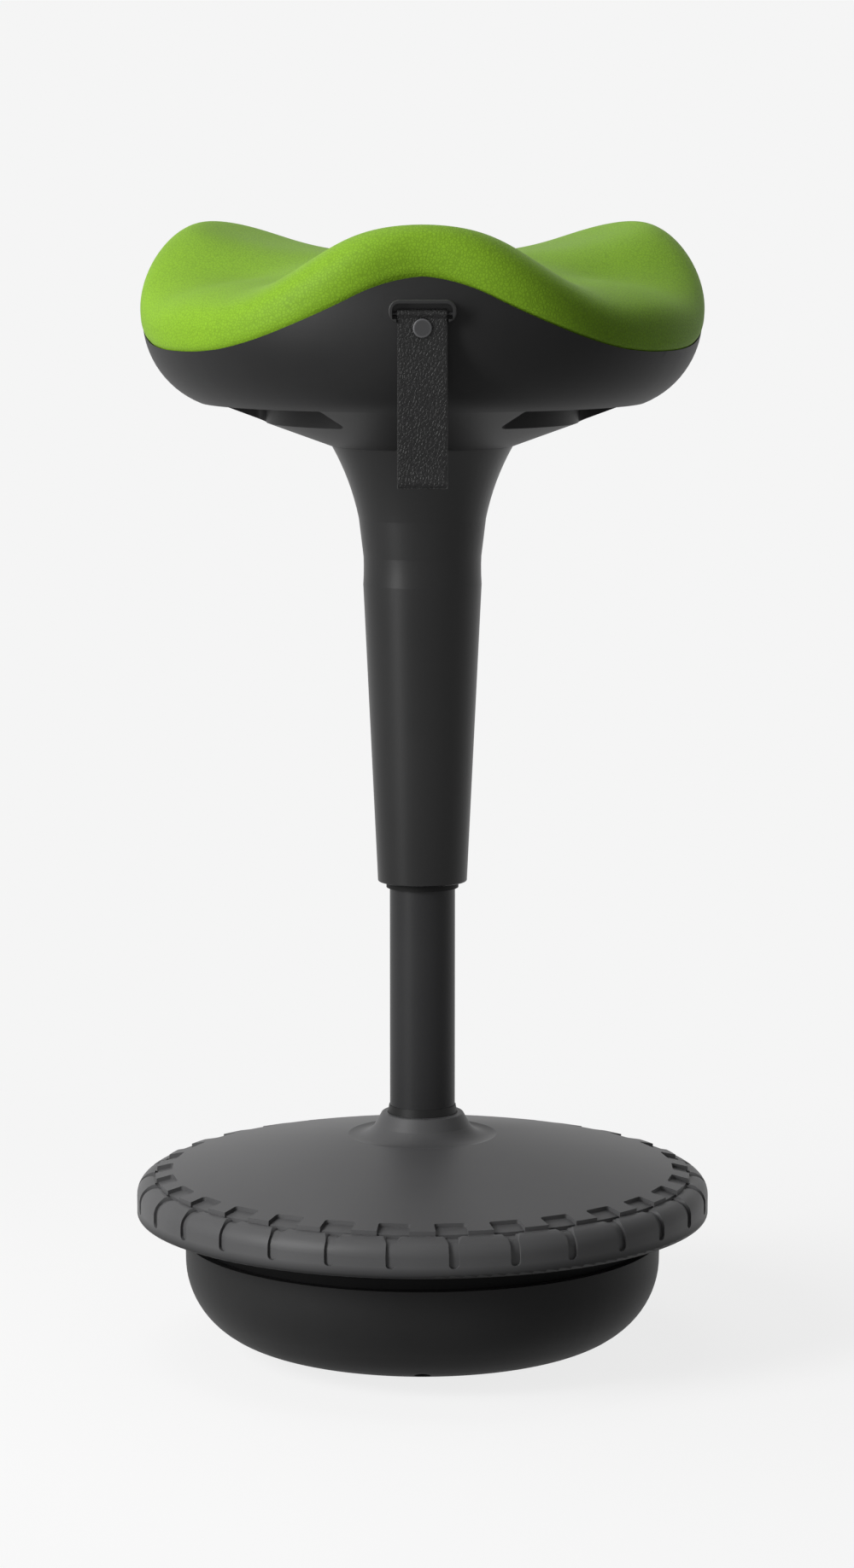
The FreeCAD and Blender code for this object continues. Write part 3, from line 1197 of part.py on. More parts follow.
def frame_block(gap, back):
    """The outer block of the strap's frame, made larger by a gap."""
    half = FRAME_WIDTH / 2 + gap
    bottom = FRAME_BOTTOM - gap
    top = FRAME_TOP + gap
    stops = ((-half, bottom, FRAME_CORNER), (half, bottom, FRAME_CORNER),
             (half, top, FRAME_CORNER), (-half, top, FRAME_CORNER))
    front = BAR_Y - FRAME_PROUD
    return drawn(stops, lambda a, b: V(a, back, b), V(0, front - back, 0))


def frame_boss():
    """The thicker patch behind the frame's seat."""
    half = FRAME_WIDTH / 2 + FRAME_BOSS_WALL
    return block(-half, half, -BELLY_RADIUS, frame_back_y() + FRAME_BOSS_WALL,
                 FRAME_BOTTOM - FRAME_BOSS_WALL, FRAME_TOP + FRAME_BOSS_WALL)


def make_strap_frame():
    """The rounded frame round the strap's bar."""
    body = frame_block(0, frame_back_y())
    half = FRAME_WIDTH / 2 - FRAME_BEAD
    front = BAR_Y - FRAME_PROUD - 1
    back = frame_back_y() - FRAME_BACK
    stops = ((-half, FRAME_BOTTOM + FRAME_BEAD), (half, FRAME_BOTTOM + FRAME_BEAD),
             (half, FRAME_TOP - FRAME_BEAD, FRAME_CORNER - FRAME_BEAD),
             (-half, FRAME_TOP - FRAME_BEAD, FRAME_CORNER - FRAME_BEAD))
    window = drawn(stops, lambda a, b: V(a, back, b), V(0, front - back, 0))
    mouth_half = STRAP_WIDTH / 2 + LOOSE_GAP / 2
    mouth = block(-mouth_half, mouth_half, front, back, FRAME_BOTTOM - 1, FRAME_TOP - 2 * FRAME_BEAD)
    front_edges = [e for e in body.Edges if e.BoundBox.YMax < BAR_Y - FRAME_PROUD + 0.01]
    body = body.makeFillet(FRAME_EDGE, front_edges)
    return body.cut([window, mouth, strap_bar_shape(SNUG_GAP)])


def strap_bar_shape(gap):
    """The bar that the strap hangs on, made larger by a gap to cut its holes."""
    half = FRAME_WIDTH / 2 - FRAME_BEAD / 2
    return Part.makeCylinder(STRAP_BAR_RADIUS + gap, 2 * half, V(-half, BAR_Y, STRAP_BAR_HEIGHT), V(1, 0, 0))


def make_strap_bar():
    """The bar that the strap swings on."""
    return strap_bar_shape(0)


def make_handle_strap():
    """The folded leather strap."""
    half = STRAP_LAYER
    top = STRAP_BAR_HEIGHT
    waist = top - STRAP_PINCH
    bend = STRAP_FOLD_RADIUS
    fold = top - STRAP_HANG + bend
    y = BAR_Y
    stops = ((y + half, waist), (y + STRAP_LOOP, top), ("bow", y, top + STRAP_LOOP), (y - STRAP_LOOP, top),
             (y - half, waist), (y - half, fold + 3 * bend), (y - bend, fold), ("bow", y, fold - bend),
             (y + bend, fold), (y + half, fold + 3 * bend))
    body = drawn(stops, lambda a, b: V(-STRAP_WIDTH / 2, a, b), V(STRAP_WIDTH, 0, 0))
    eye = Part.makeCylinder(STRAP_EYE, 2 * STRAP_WIDTH, V(-STRAP_WIDTH, y, top), V(1, 0, 0))
    start = V(0, y + 2 * STRAP_LOOP, RIVET_Z)
    shank = Part.makeCylinder(RIVET_RADIUS / 2 + SNUG_GAP, 4 * STRAP_LOOP, start, V(0, -1, 0))
    return body.cut([eye, shank])


def make_strap_rivet():
    """The snap that closes the strap under its bar."""
    front = BAR_Y - STRAP_LAYER
    toward = V(0, -1, 0)
    shank = Part.makeCylinder(RIVET_RADIUS / 2, 2 * STRAP_LAYER, V(0, BAR_Y + STRAP_LAYER, RIVET_Z), toward)
    head = Part.makeCylinder(RIVET_RADIUS, RIVET_HEAD, V(0, front, RIVET_Z), toward)
    head = head.makeFillet(RIVET_EDGE, [e for e in head.Edges if e.BoundBox.YMax < front - RIVET_HEAD / 2])
    return head.fuse(shank)


def keep(name, shape):
    """Write one piece, or one group of like pieces, to its file."""
    os.makedirs("parts", exist_ok=True)
    shape.exportStep("parts/" + name + ".step")
    solids = shape.Solids
    state = "valid" if shape.isValid() else "NOT VALID"
    print(name, len(solids), state, round(sum(s.Volume for s in solids)))


keep("foot_bowl", make_foot_bowl())
keep("foot_sole", make_foot_sole())
keep("threaded_inserts", make_threaded_inserts())
keep("ballast_weight", make_ballast_weight())
keep("column_hub", make_column_hub())
keep("hub_bolts", make_hub_bolts())
keep("base_cover", make_base_cover())
keep("cover_screws", make_cover_screws())
keep("collar_ring", make_collar_ring())
keep("column_tube", make_column_tube())
keep("guide_bush", make_guide_bush())
keep("lower_race", make_lower_race())
keep("bearing_balls", make_bearing_balls())
keep("bearing_cage", make_bearing_cage())
keep("upper_race", make_upper_race())
keep("piston_rod", make_piston_rod())
keep("rod_washer", make_rod_washer())
keep("retaining_clip", make_retaining_clip())
keep("bump_stop", make_bump_stop())
keep("piston", make_piston())
keep("piston_seal", make_piston_seal())
keep("piston_nut", make_piston_nut())
keep("gas_cylinder", make_gas_cylinder())
keep("rod_guide", make_rod_guide())
keep("valve_body", make_valve_body())
keep("valve_pin", make_valve_pin())
keep("column_sleeve", make_column_sleeve())
keep("sleeve_glide", make_sleeve_glide())
keep("seat_bracket", make_seat_bracket())
keep("bracket_bolts", make_bracket_bolts())
keep("tee_nuts", make_tee_nuts())
keep("seat_board", make_seat_board())
keep("lever_pin", make_lever_pin())
keep("release_lever", make_release_lever())
keep("lever_paddle", make_lever_paddle())
keep("seat_shell", make_seat_shell())
keep("shell_screws", make_shell_screws())
keep("seat_cushion", make_seat_cushion())
keep("strap_frame", make_strap_frame())
keep("strap_bar", make_strap_bar())
keep("handle_strap", make_handle_strap())
keep("strap_rivet", make_strap_rivet())
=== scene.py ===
import json
import math

import bpy
import numpy as np
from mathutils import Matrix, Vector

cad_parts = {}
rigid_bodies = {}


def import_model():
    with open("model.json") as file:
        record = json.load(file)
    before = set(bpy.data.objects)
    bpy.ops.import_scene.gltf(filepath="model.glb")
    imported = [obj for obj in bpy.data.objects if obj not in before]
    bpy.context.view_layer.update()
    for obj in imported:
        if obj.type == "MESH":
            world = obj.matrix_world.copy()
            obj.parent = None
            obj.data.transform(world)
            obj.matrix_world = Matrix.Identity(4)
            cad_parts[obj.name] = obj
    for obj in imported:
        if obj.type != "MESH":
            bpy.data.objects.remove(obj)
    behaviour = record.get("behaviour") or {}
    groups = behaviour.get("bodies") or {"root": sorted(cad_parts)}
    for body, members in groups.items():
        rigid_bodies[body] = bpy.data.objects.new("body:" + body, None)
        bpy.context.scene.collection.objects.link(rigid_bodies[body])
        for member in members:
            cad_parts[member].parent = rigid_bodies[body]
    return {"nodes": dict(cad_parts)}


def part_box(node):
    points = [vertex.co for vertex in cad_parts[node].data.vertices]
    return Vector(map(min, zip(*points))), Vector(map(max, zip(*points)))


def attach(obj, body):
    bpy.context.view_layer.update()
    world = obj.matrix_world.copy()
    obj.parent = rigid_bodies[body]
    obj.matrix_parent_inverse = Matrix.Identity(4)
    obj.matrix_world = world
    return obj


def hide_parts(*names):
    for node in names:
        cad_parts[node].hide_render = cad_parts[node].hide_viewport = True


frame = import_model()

# A wobble stool: bowl foot, treaded dome, gas column, moulded seat shell and a three-lobed
# leather cushion with a carry strap. Metres, +Z up, the front looks towards -Y.
node = frame["nodes"]
for spare in [o for o in bpy.data.objects if o.name in ("Cube", "Light", "Camera")]:
    bpy.data.objects.remove(spare)
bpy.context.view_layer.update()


# Studio: a pale seamless floor that keeps the stool's soft shadow, a large softbox high on the
# left, a tall strip softbox below it and a weak one overhead. The camera stands at seat height.
BACKDROP_GREY = 0.913
SHADOW_SHARE = 0.11
SHADOW_ALBEDO = 0.2
BOUNCE_ALBEDO = 0.25
AIR_LIGHT = 0.08
FLOOR_HALF = 6.0
SHADOW_RADIUS = (0.3, 0.9)
CAMERA_BACK, CAMERA_HEIGHT, CAMERA_DIP = 2.8395, 0.754, 7.68


def paint(name):
    """A new node material: its node tree and its surface shader."""
    look = bpy.data.materials.new(name)
    look.use_nodes = True
    tree = look.node_tree
    return look, tree, tree.nodes["Principled BSDF"]


def add(tree, kind, **settings):
    """A node in a tree; settings are its own properties, or the values of sockets by name."""
    made = tree.nodes.new(kind)
    for key, value in settings.items():
        label = key.replace("_", " ")
        if label in made.inputs:
            made.inputs[label].default_value = value
        else:
            setattr(made, key, value)
    return made


def seen_directly(tree):
    """1 for rays from the camera, a mirror or glass, which see the backdrop; 0 for the rest."""
    path = add(tree, "ShaderNodeLightPath")
    total = path.outputs["Is Camera Ray"]
    for name in ("Is Glossy Ray", "Is Transmission Ray"):
        either = add(tree, "ShaderNodeMath", operation="MAXIMUM")
        tree.links.new(total, either.inputs[0])
        tree.links.new(path.outputs[name], either.inputs[1])
        total = either.outputs[0]
    return total


def mixed(tree, share, first, second):
    """Two shaders mixed by a share that another node gives."""
    mix = add(tree, "ShaderNodeMixShader")
    tree.links.new(share, mix.inputs[0])
    tree.links.new(first, mix.inputs[1])
    tree.links.new(second, mix.inputs[2])
    return mix.outputs[0]


floor_look, tree, skin = paint("studio_floor")
skin.inputs["Base Color"].default_value = (BOUNCE_ALBEDO,) * 3 + (1,)
skin.inputs["Specular IOR Level"].default_value = 0.0
catcher = add(tree, "ShaderNodeBsdfDiffuse", Color=(SHADOW_ALBEDO,) * 3 + (1,))
lift = add(tree, "ShaderNodeEmission", Color=(BACKDROP_GREY - SHADOW_SHARE,) * 3 + (1,))
near = add(tree, "ShaderNodeAddShader")
even = add(tree, "ShaderNodeEmission", Color=(BACKDROP_GREY,) * 3 + (1,))
where = add(tree, "ShaderNodeTexCoord")
away = add(tree, "ShaderNodeVectorMath", operation="LENGTH")
far = add(tree, "ShaderNodeMapRange", interpolation_type="SMOOTHSTEP",
          From_Min=SHADOW_RADIUS[0], From_Max=SHADOW_RADIUS[1])
tree.links.new(catcher.outputs[0], near.inputs[0])
tree.links.new(lift.outputs[0], near.inputs[1])
tree.links.new(where.outputs["Object"], away.inputs[0])
tree.links.new(away.outputs["Value"], far.inputs["Value"])
shown = mixed(tree, far.outputs["Result"], near.outputs[0], even.outputs[0])
whole = mixed(tree, seen_directly(tree), skin.outputs[0], shown)
tree.links.new(whole, tree.nodes["Material Output"].inputs["Surface"])
floor_mesh = bpy.data.meshes.new("studio_floor")
floor_mesh.from_pydata([(-FLOOR_HALF, -FLOOR_HALF, 0), (FLOOR_HALF, -FLOOR_HALF, 0),
                        (FLOOR_HALF, FLOOR_HALF, 0), (-FLOOR_HALF, FLOOR_HALF, 0)], [], [(0, 1, 2, 3)])
studio_floor = bpy.data.objects.new("studio_floor", floor_mesh)
bpy.context.scene.collection.objects.link(studio_floor)
floor_mesh.materials.append(floor_look)

world = bpy.data.worlds.new("studio_air")
bpy.context.scene.world = world
world.use_nodes = True
air = world.node_tree
glow = air.nodes["Background"]
glow.inputs["Color"].default_value = (1, 1, 1, 1)
glow.inputs["Strength"].default_value = AIR_LIGHT
grey = add(air, "ShaderNodeBackground", Color=(BACKDROP_GREY,) * 3 + (1,), Strength=1.0)
whole = mixed(air, seen_directly(air), glow.outputs[0], grey.outputs[0])
air.links.new(whole, air.nodes["World Output"].inputs["Surface"])


def softbox(name, place, width, tall, power, target=(0.0, 0.0, 0.45)):
    """A rectangular area lamp that faces a point on the stool."""
    lamp = bpy.data.lights.new(name, "AREA")
    lamp.shape = "RECTANGLE"
    lamp.size = width
    lamp.size_y = tall
    lamp.energy = power
    holder = bpy.data.objects.new(name, lamp)
    holder.location = place
    toward = np.array(target) - np.array(place)
    yaw = math.atan2(-toward[0], toward[1])
    tilt = math.atan2(math.hypot(toward[0], toward[1]), -toward[2])
    holder.rotation_euler = (tilt, 0, yaw)
    bpy.context.scene.collection.objects.link(holder)


softbox("softbox_left", (-2.15, -1.6, 1.9), 1.4, 1.4, 45)
softbox("softbox_strip", (-2.13, -1.66, 0.95), 0.55, 1.8, 38)
softbox("softbox_top", (-0.5, 0.2, 3.0), 1.8, 1.8, 17)

view = bpy.data.cameras.new("camera")
view.lens = 102.47
view.sensor_width = 36.0
view.shift_x = 0.0029
view.clip_end = 40.0
camera = bpy.data.objects.new("camera", view)
camera.location = (0.0, -CAMERA_BACK, CAMERA_HEIGHT)
camera.rotation_euler = (math.radians(90.0 - CAMERA_DIP), 0, 0)
bpy.context.scene.collection.objects.link(camera)
bpy.context.scene.camera = camera
bpy.context.scene.view_settings.view_transform = "Standard"


# Bowl foot: a deep black bowl, injection moulded in polypropylene, with fine spark texture and
# moulded ribs inside. A rubber sole is let into its middle, and brass inserts moulded into it
# take the hub's bolts.
GRAIN_DEPTH = 0.0004
PATCH_SCALE = 9.0
DEEPEST_PAINTED_SHADE = 0.15
TURNED = (1, 1, 14)
BOWL_PAINTED_SHADE = (0.002, 0.032)


def moulded(name, colour, rough, specular, grain=(900.0, 0.12), patch=0.15, stretch=(1, 1, 1),
            painted_shade=None):
    """Moulded or machined stock: a fine texture as bump, soft patches in colour and gloss. Stretch
    draws the texture out into tool marks. Painted shade, if given as two heights, darkens colour
    and gloss below the upper one, most at the lower one and under it, as shade falls in a gap."""
    look, tree, skin = paint(name)
    skin.inputs["Specular IOR Level"].default_value = specular
    where = add(tree, "ShaderNodeTexCoord")
    drawn = add(tree, "ShaderNodeMapping", Scale=stretch)
    fine = add(tree, "ShaderNodeTexNoise", Scale=grain[0], Detail=3.0, Roughness=0.6)
    broad = add(tree, "ShaderNodeTexNoise", Scale=PATCH_SCALE, Detail=4.0)
    tint = add(tree, "ShaderNodeValToRGB")
    low, high = tint.color_ramp.elements
    low.position, high.position = 0.35, 0.7
    low.color = tuple(c * (1 - patch) for c in colour) + (1,)
    high.color = tuple(c * (1 + patch) for c in colour) + (1,)
    gloss = add(tree, "ShaderNodeMapRange", To_Min=rough - 0.04, To_Max=rough + 0.06)
    bump = add(tree, "ShaderNodeBump", Strength=grain[1], Distance=GRAIN_DEPTH)
    tree.links.new(where.outputs["Object"], drawn.inputs["Vector"])
    tree.links.new(drawn.outputs["Vector"], fine.inputs["Vector"])
    tree.links.new(where.outputs["Object"], broad.inputs["Vector"])
    tree.links.new(broad.outputs["Fac"], tint.inputs["Fac"])
    tree.links.new(broad.outputs["Fac"], gloss.inputs["Value"])
    tree.links.new(gloss.outputs["Result"], skin.inputs["Roughness"])
    tree.links.new(fine.outputs["Fac"], bump.inputs["Height"])
    tree.links.new(bump.outputs["Normal"], skin.inputs["Normal"])
    colour_out = tint.outputs["Color"]
    # Painted shade: base colour and specular level scaled down by height between the two given heights.
    if painted_shade:
        split = add(tree, "ShaderNodeSeparateXYZ")
        depth = add(tree, "ShaderNodeMapRange", From_Min=painted_shade[0], From_Max=painted_shade[1], To_Min=DEEPEST_PAINTED_SHADE)
        dark = add(tree, "ShaderNodeVectorMath", operation="SCALE")
        sheen = add(tree, "ShaderNodeMath", operation="MULTIPLY")
        sheen.inputs[1].default_value = specular
        tree.links.new(where.outputs["Object"], split.inputs[0])
        tree.links.new(split.outputs["Z"], depth.inputs["Value"])
        tree.links.new(colour_out, dark.inputs[0])
        tree.links.new(depth.outputs["Result"], dark.inputs["Scale"])
        tree.links.new(depth.outputs["Result"], sheen.inputs[0])
        tree.links.new(sheen.outputs[0], skin.inputs["Specular IOR Level"])
        colour_out = dark.outputs[0]
    tree.links.new(colour_out, skin.inputs["Base Color"])
    return look


def metal(name, colour, rough, metallic=1.0, grain=(300.0, 0.05), patch=0.1, stretch=(1, 1, 1)):
    """Metal: a light tool or casting grain, with patches in its colour and gloss."""
    look = moulded(name, colour, rough, 0.5, grain, patch, stretch)
    look.node_tree.nodes["Principled BSDF"].inputs["Metallic"].default_value = metallic
    return look


def finish(look, *names):
    """These carried-over pieces show this material."""
    for name in names:
        for slot in node[name].material_slots:
            slot.material = look


# Painted shade: the bowl's colour and gloss darken towards its bottom, from 32 mm down to 0.15 of
# themselves at 2 mm and under, as a contact shadow at the floor.
finish(moulded("bowl_black", (0.026, 0.026, 0.0263), 0.52, 0.1, painted_shade=BOWL_PAINTED_SHADE), "foot_bowl")
finish(moulded("sole_black", (0.02, 0.02, 0.02), 0.8, 0.2, (400.0, 0.3)), "foot_sole")
finish(metal("insert_brass", (0.7, 0.5, 0.22), 0.35, stretch=TURNED), "threaded_inserts")


# Ballast and column foot: a sand-cast iron disc under a powder-coated steel hub with gussets,
# held down by four zinc-plated bolts.
finish(metal("cast_grey", (0.09, 0.09, 0.095), 0.7, 0.6, (220.0, 0.5), 0.25), "ballast_weight")
coat = metal("powder_coat", (0.026, 0.026, 0.027), 0.42, 0.0, (700.0, 0.15))
coat.node_tree.nodes["Principled BSDF"].inputs["Specular IOR Level"].default_value = 0.18
finish(coat, "column_hub")
zinc = metal("zinc_plate", (0.6, 0.61, 0.62), 0.3)
finish(zinc, "hub_bolts")


# Dome cover: one charcoal moulding with a raised collar and thirty grip blocks round its rim,
# screwed to the bowl from below, and a dark seal that closes the gap round the column. Its
# underside falls away into the deep gap above the bowl, and painted shade darkens it there.
# Painted shade: the cover's colour and gloss darken below 98.5 mm, to 0.15 of themselves at 90.5 mm and
# under, on the rim's lower edge and the neck in the gap above the bowl.
GAP_PAINTED_SHADE = (0.0905, 0.0985)
finish(moulded("cover_charcoal", (0.09, 0.09, 0.092), 0.48, 0.26, (1100.0, 0.16), 0.1,
               painted_shade=GAP_PAINTED_SHADE), "base_cover")
finish(moulded("ring_black", (0.01, 0.01, 0.01), 0.5, 0.2), "collar_ring")
finish(zinc, "cover_screws")


# Column: a powder-coated steel tube with an acetal bush in its mouth. Inside, the rod turns on a
# caged ball race, with a rubber stop above it and the piston at its top.
finish(coat, "column_tube")
finish(moulded("bush_plastic", (0.75, 0.74, 0.7), 0.4, 0.5), "guide_bush", "bearing_cage", "rod_guide")
bearing = metal("bearing_steel", (0.55, 0.55, 0.56), 0.18, stretch=TURNED)
finish(bearing, "lower_race", "upper_race", "bearing_balls", "rod_washer", "retaining_clip")
finish(metal("rod_chrome", (0.72, 0.73, 0.74), 0.12, grain=(500.0, 0.03), stretch=TURNED), "piston_rod")
finish(moulded("stop_rubber", (0.03, 0.03, 0.03), 0.7, 0.3), "bump_stop", "piston_seal")
finish(metal("piston_alloy", (0.65, 0.66, 0.68), 0.3, stretch=TURNED), "piston", "valve_body")
finish(metal("valve_brass", (0.68, 0.5, 0.24), 0.3, stretch=TURNED), "valve_pin")
finish(zinc, "piston_nut")


# Gas cylinder and sleeve: a painted steel cylinder under a tapered satin sleeve that flares
# into the seat shell, with a black slide ring in its mouth.
finish(coat, "gas_cylinder")
finish(moulded("sleeve_black", (0.018, 0.018, 0.0182), 0.38, 0.22, (1200.0, 0.08)), "column_sleeve")
finish(moulded("glide_black", (0.008, 0.008, 0.008), 0.6, 0.15), "sleeve_glide")


# Seat frame: a pressed bracket bolted under a round board of nine birch plies, with the release
# lever's rod and pin and a moulded finger pad.
PLIES = 9
PLY_WEIGHT = 0.45


def plywood(name, bottom, thickness, plies):
    """Layered board: pale and dark plies by height, with long fibres drawn out along X."""
    look, tree, skin = paint(name)
    where = add(tree, "ShaderNodeTexCoord")
    fibres = add(tree, "ShaderNodeMapping", Scale=(9, 160, 160))
    grain = add(tree, "ShaderNodeTexNoise", Scale=1.0, Detail=6.0, Roughness=0.65)
    split = add(tree, "ShaderNodeSeparateXYZ")
    layer = add(tree, "ShaderNodeMapRange", From_Min=bottom, From_Max=bottom + thickness, To_Max=plies)
    wave = add(tree, "ShaderNodeMath", operation="PINGPONG")
    wave.inputs[1].default_value = 1.0
    both = add(tree, "ShaderNodeMath", operation="MULTIPLY_ADD")
    both.inputs[1].default_value = PLY_WEIGHT
    tint = add(tree, "ShaderNodeValToRGB")
    low, high = tint.color_ramp.elements
    low.color, high.color = (0.3, 0.17, 0.075, 1), (0.66, 0.48, 0.28, 1)
    bump = add(tree, "ShaderNodeBump", Strength=0.2, Distance=GRAIN_DEPTH)
    tree.links.new(where.outputs["Object"], fibres.inputs["Vector"])
    tree.links.new(fibres.outputs["Vector"], grain.inputs["Vector"])
    tree.links.new(where.outputs["Object"], split.inputs[0])
    tree.links.new(split.outputs["Z"], layer.inputs["Value"])
    tree.links.new(layer.outputs["Result"], wave.inputs[0])
    tree.links.new(wave.outputs[0], both.inputs[0])
    tree.links.new(grain.outputs["Fac"], both.inputs[2])
    tree.links.new(both.outputs[0], tint.inputs["Fac"])
    tree.links.new(tint.outputs["Color"], skin.inputs["Base Color"])
    tree.links.new(grain.outputs["Fac"], bump.inputs["Height"])
    tree.links.new(bump.outputs["Normal"], skin.inputs["Normal"])
    skin.inputs["Roughness"].default_value = 0.6
    return look


board_low, board_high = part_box("seat_board")
finish(plywood("board_birch", board_low[2], board_high[2] - board_low[2], PLIES), "seat_board")
finish(coat, "seat_bracket")
finish(zinc, "bracket_bolts", "tee_nuts", "shell_screws", "lever_pin", "release_lever")
finish(moulded("pad_black", (0.02, 0.02, 0.0204), 0.5, 0.28), "lever_paddle")


# Seat shell: one satin black moulding with a waved edge that follows the cushion and three finger
# scoops underneath, two towards the front and one at the back, held to the board by screws.
finish(moulded("shell_black", (0.023, 0.023, 0.0233), 0.48, 0.13, (1100.0, 0.12)), "seat_shell")


# Cushion: moulded foam under a tight green leather-grained skin, with three raised lobes and a
# dished middle. Its edge tucks into the shell all round and leaves a thin dark line.
LOBES = 3
SEAM = (0.6703, 0.0228, 0.0047, 0.0008, 0.0004)
CREST = (0.7076, 0.0196, 0.0034, -0.0017)
CREST_RADIUS = (0.1303, 0.024)
DISH = 0.7073
BULGE = 0.007
BELLY_SHARE, BROW_SHARE = 0.45, 0.2
SEAM_GAP = 0.0013
SIDE_CENTRE, SIDE_ARC, BELLY = 0.1196, 0.0572, 0.669
AROUND, SIDE_ROWS, DISH_ROWS = 300, 60, 70
DISH_HOLE = 0.03
EASE_START, EASE_RUN, EASE_PASSES = 28, 20.0, 45
BASE_HEIGHT, BASE_INNER, BASE_OUTER = 0.6425, 0.02, 0.146
TUCK_IN, TUCK_DOWN = 0.005, 0.006
CLOTH_FRAMES, CLOTH_SMOOTHING, CLOTH_FADE = 20, 80, 8.0


def waves(values, turn):
    """The mean of a waved size plus its first, second and further waves round the seat."""
    total = values[0] * np.ones_like(turn)
    for order, size in enumerate(values[1:], 1):
        total = total + size * np.cos(order * LOBES * turn)
    return total


def surface(name, grid, ring=False):
    """A grid of points as a closed mesh. Columns run round; rows run round as well in a ring, or
    else each end closes on a middle point. Faces turn outwards, found from the signed volume."""
    rows, columns = grid.shape[:2]
    row, column = np.meshgrid(np.arange(rows if ring else rows - 1), np.arange(columns), indexing="ij")
    below, right = (row + 1) % rows, (column + 1) % columns
    faces = np.stack([row * columns + column, row * columns + right,
                      below * columns + right, below * columns + column], -1).reshape(-1, 4).tolist()
    points = grid.reshape(-1, 3)
    corners = points[np.array(faces)]
    volume = np.einsum("ij,ij->i", corners[:, 0], np.cross(corners[:, 1], corners[:, 2])).sum()
    volume += np.einsum("ij,ij->i", corners[:, 0], np.cross(corners[:, 2], corners[:, 3])).sum()
    if not ring:
        here = np.arange(columns)
        beside = (here + 1) % columns
        start, end = len(points), len(points) + 1
        faces += np.stack([here * 0 + start, beside, here], -1).tolist()
        last = (rows - 1) * columns
        faces += np.stack([here * 0 + end, last + here, last + beside], -1).tolist()
        points = np.vstack([points, grid[0].mean(0), grid[-1].mean(0)])
    if volume < 0:
        faces = [face[::-1] for face in faces]
    mesh = bpy.data.meshes.new(name)
    mesh.from_pydata(points, [], faces)
    mesh.shade_smooth()
    made = bpy.data.objects.new(name, mesh)
    bpy.context.scene.collection.objects.link(made)
    return made


def eased(line, hold, passes):
    """Rows drawn towards the mean of their neighbours, each by its own hold from 0 to 1."""
    for _ in range(passes):
        middle = (line[:-2] + line[2:]) / 2
        line[1:-1] += 0.5 * hold[1:-1] * (middle - line[1:-1])
    return line


def leather(name, colour, rough, specular, cell, depth, patch, line=0.76):
    """Leather grain: rounded cells parted by fine creases, as bump and as darker lines, with pores
    between them and slow patches in colour and gloss."""
    look = moulded(name, colour, rough, specular, (1.8 / cell, 0.08), patch)
    tree = look.node_tree
    skin = tree.nodes["Principled BSDF"]
    where = add(tree, "ShaderNodeTexCoord")
    cells = add(tree, "ShaderNodeTexVoronoi", feature="DISTANCE_TO_EDGE", Scale=1.0 / cell)
    crease = add(tree, "ShaderNodeMapRange", From_Max=0.2, To_Min=line)
    grain = add(tree, "ShaderNodeBump", Strength=depth, Distance=GRAIN_DEPTH)
    tint = skin.inputs["Base Color"].links[0].from_socket
    pores = skin.inputs["Normal"].links[0].from_socket
    darker = add(tree, "ShaderNodeVectorMath", operation="SCALE")
    tree.links.new(where.outputs["Object"], cells.inputs["Vector"])
    tree.links.new(cells.outputs["Distance"], crease.inputs["Value"])
    tree.links.new(crease.outputs["Result"], grain.inputs["Height"])
    tree.links.new(pores, grain.inputs["Normal"])
    tree.links.new(grain.outputs["Normal"], skin.inputs["Normal"])
    tree.links.new(tint, darker.inputs[0])
    tree.links.new(crease.outputs["Result"], darker.inputs["Scale"])
    tree.links.new(darker.outputs[0], skin.inputs["Base Color"])
    return look


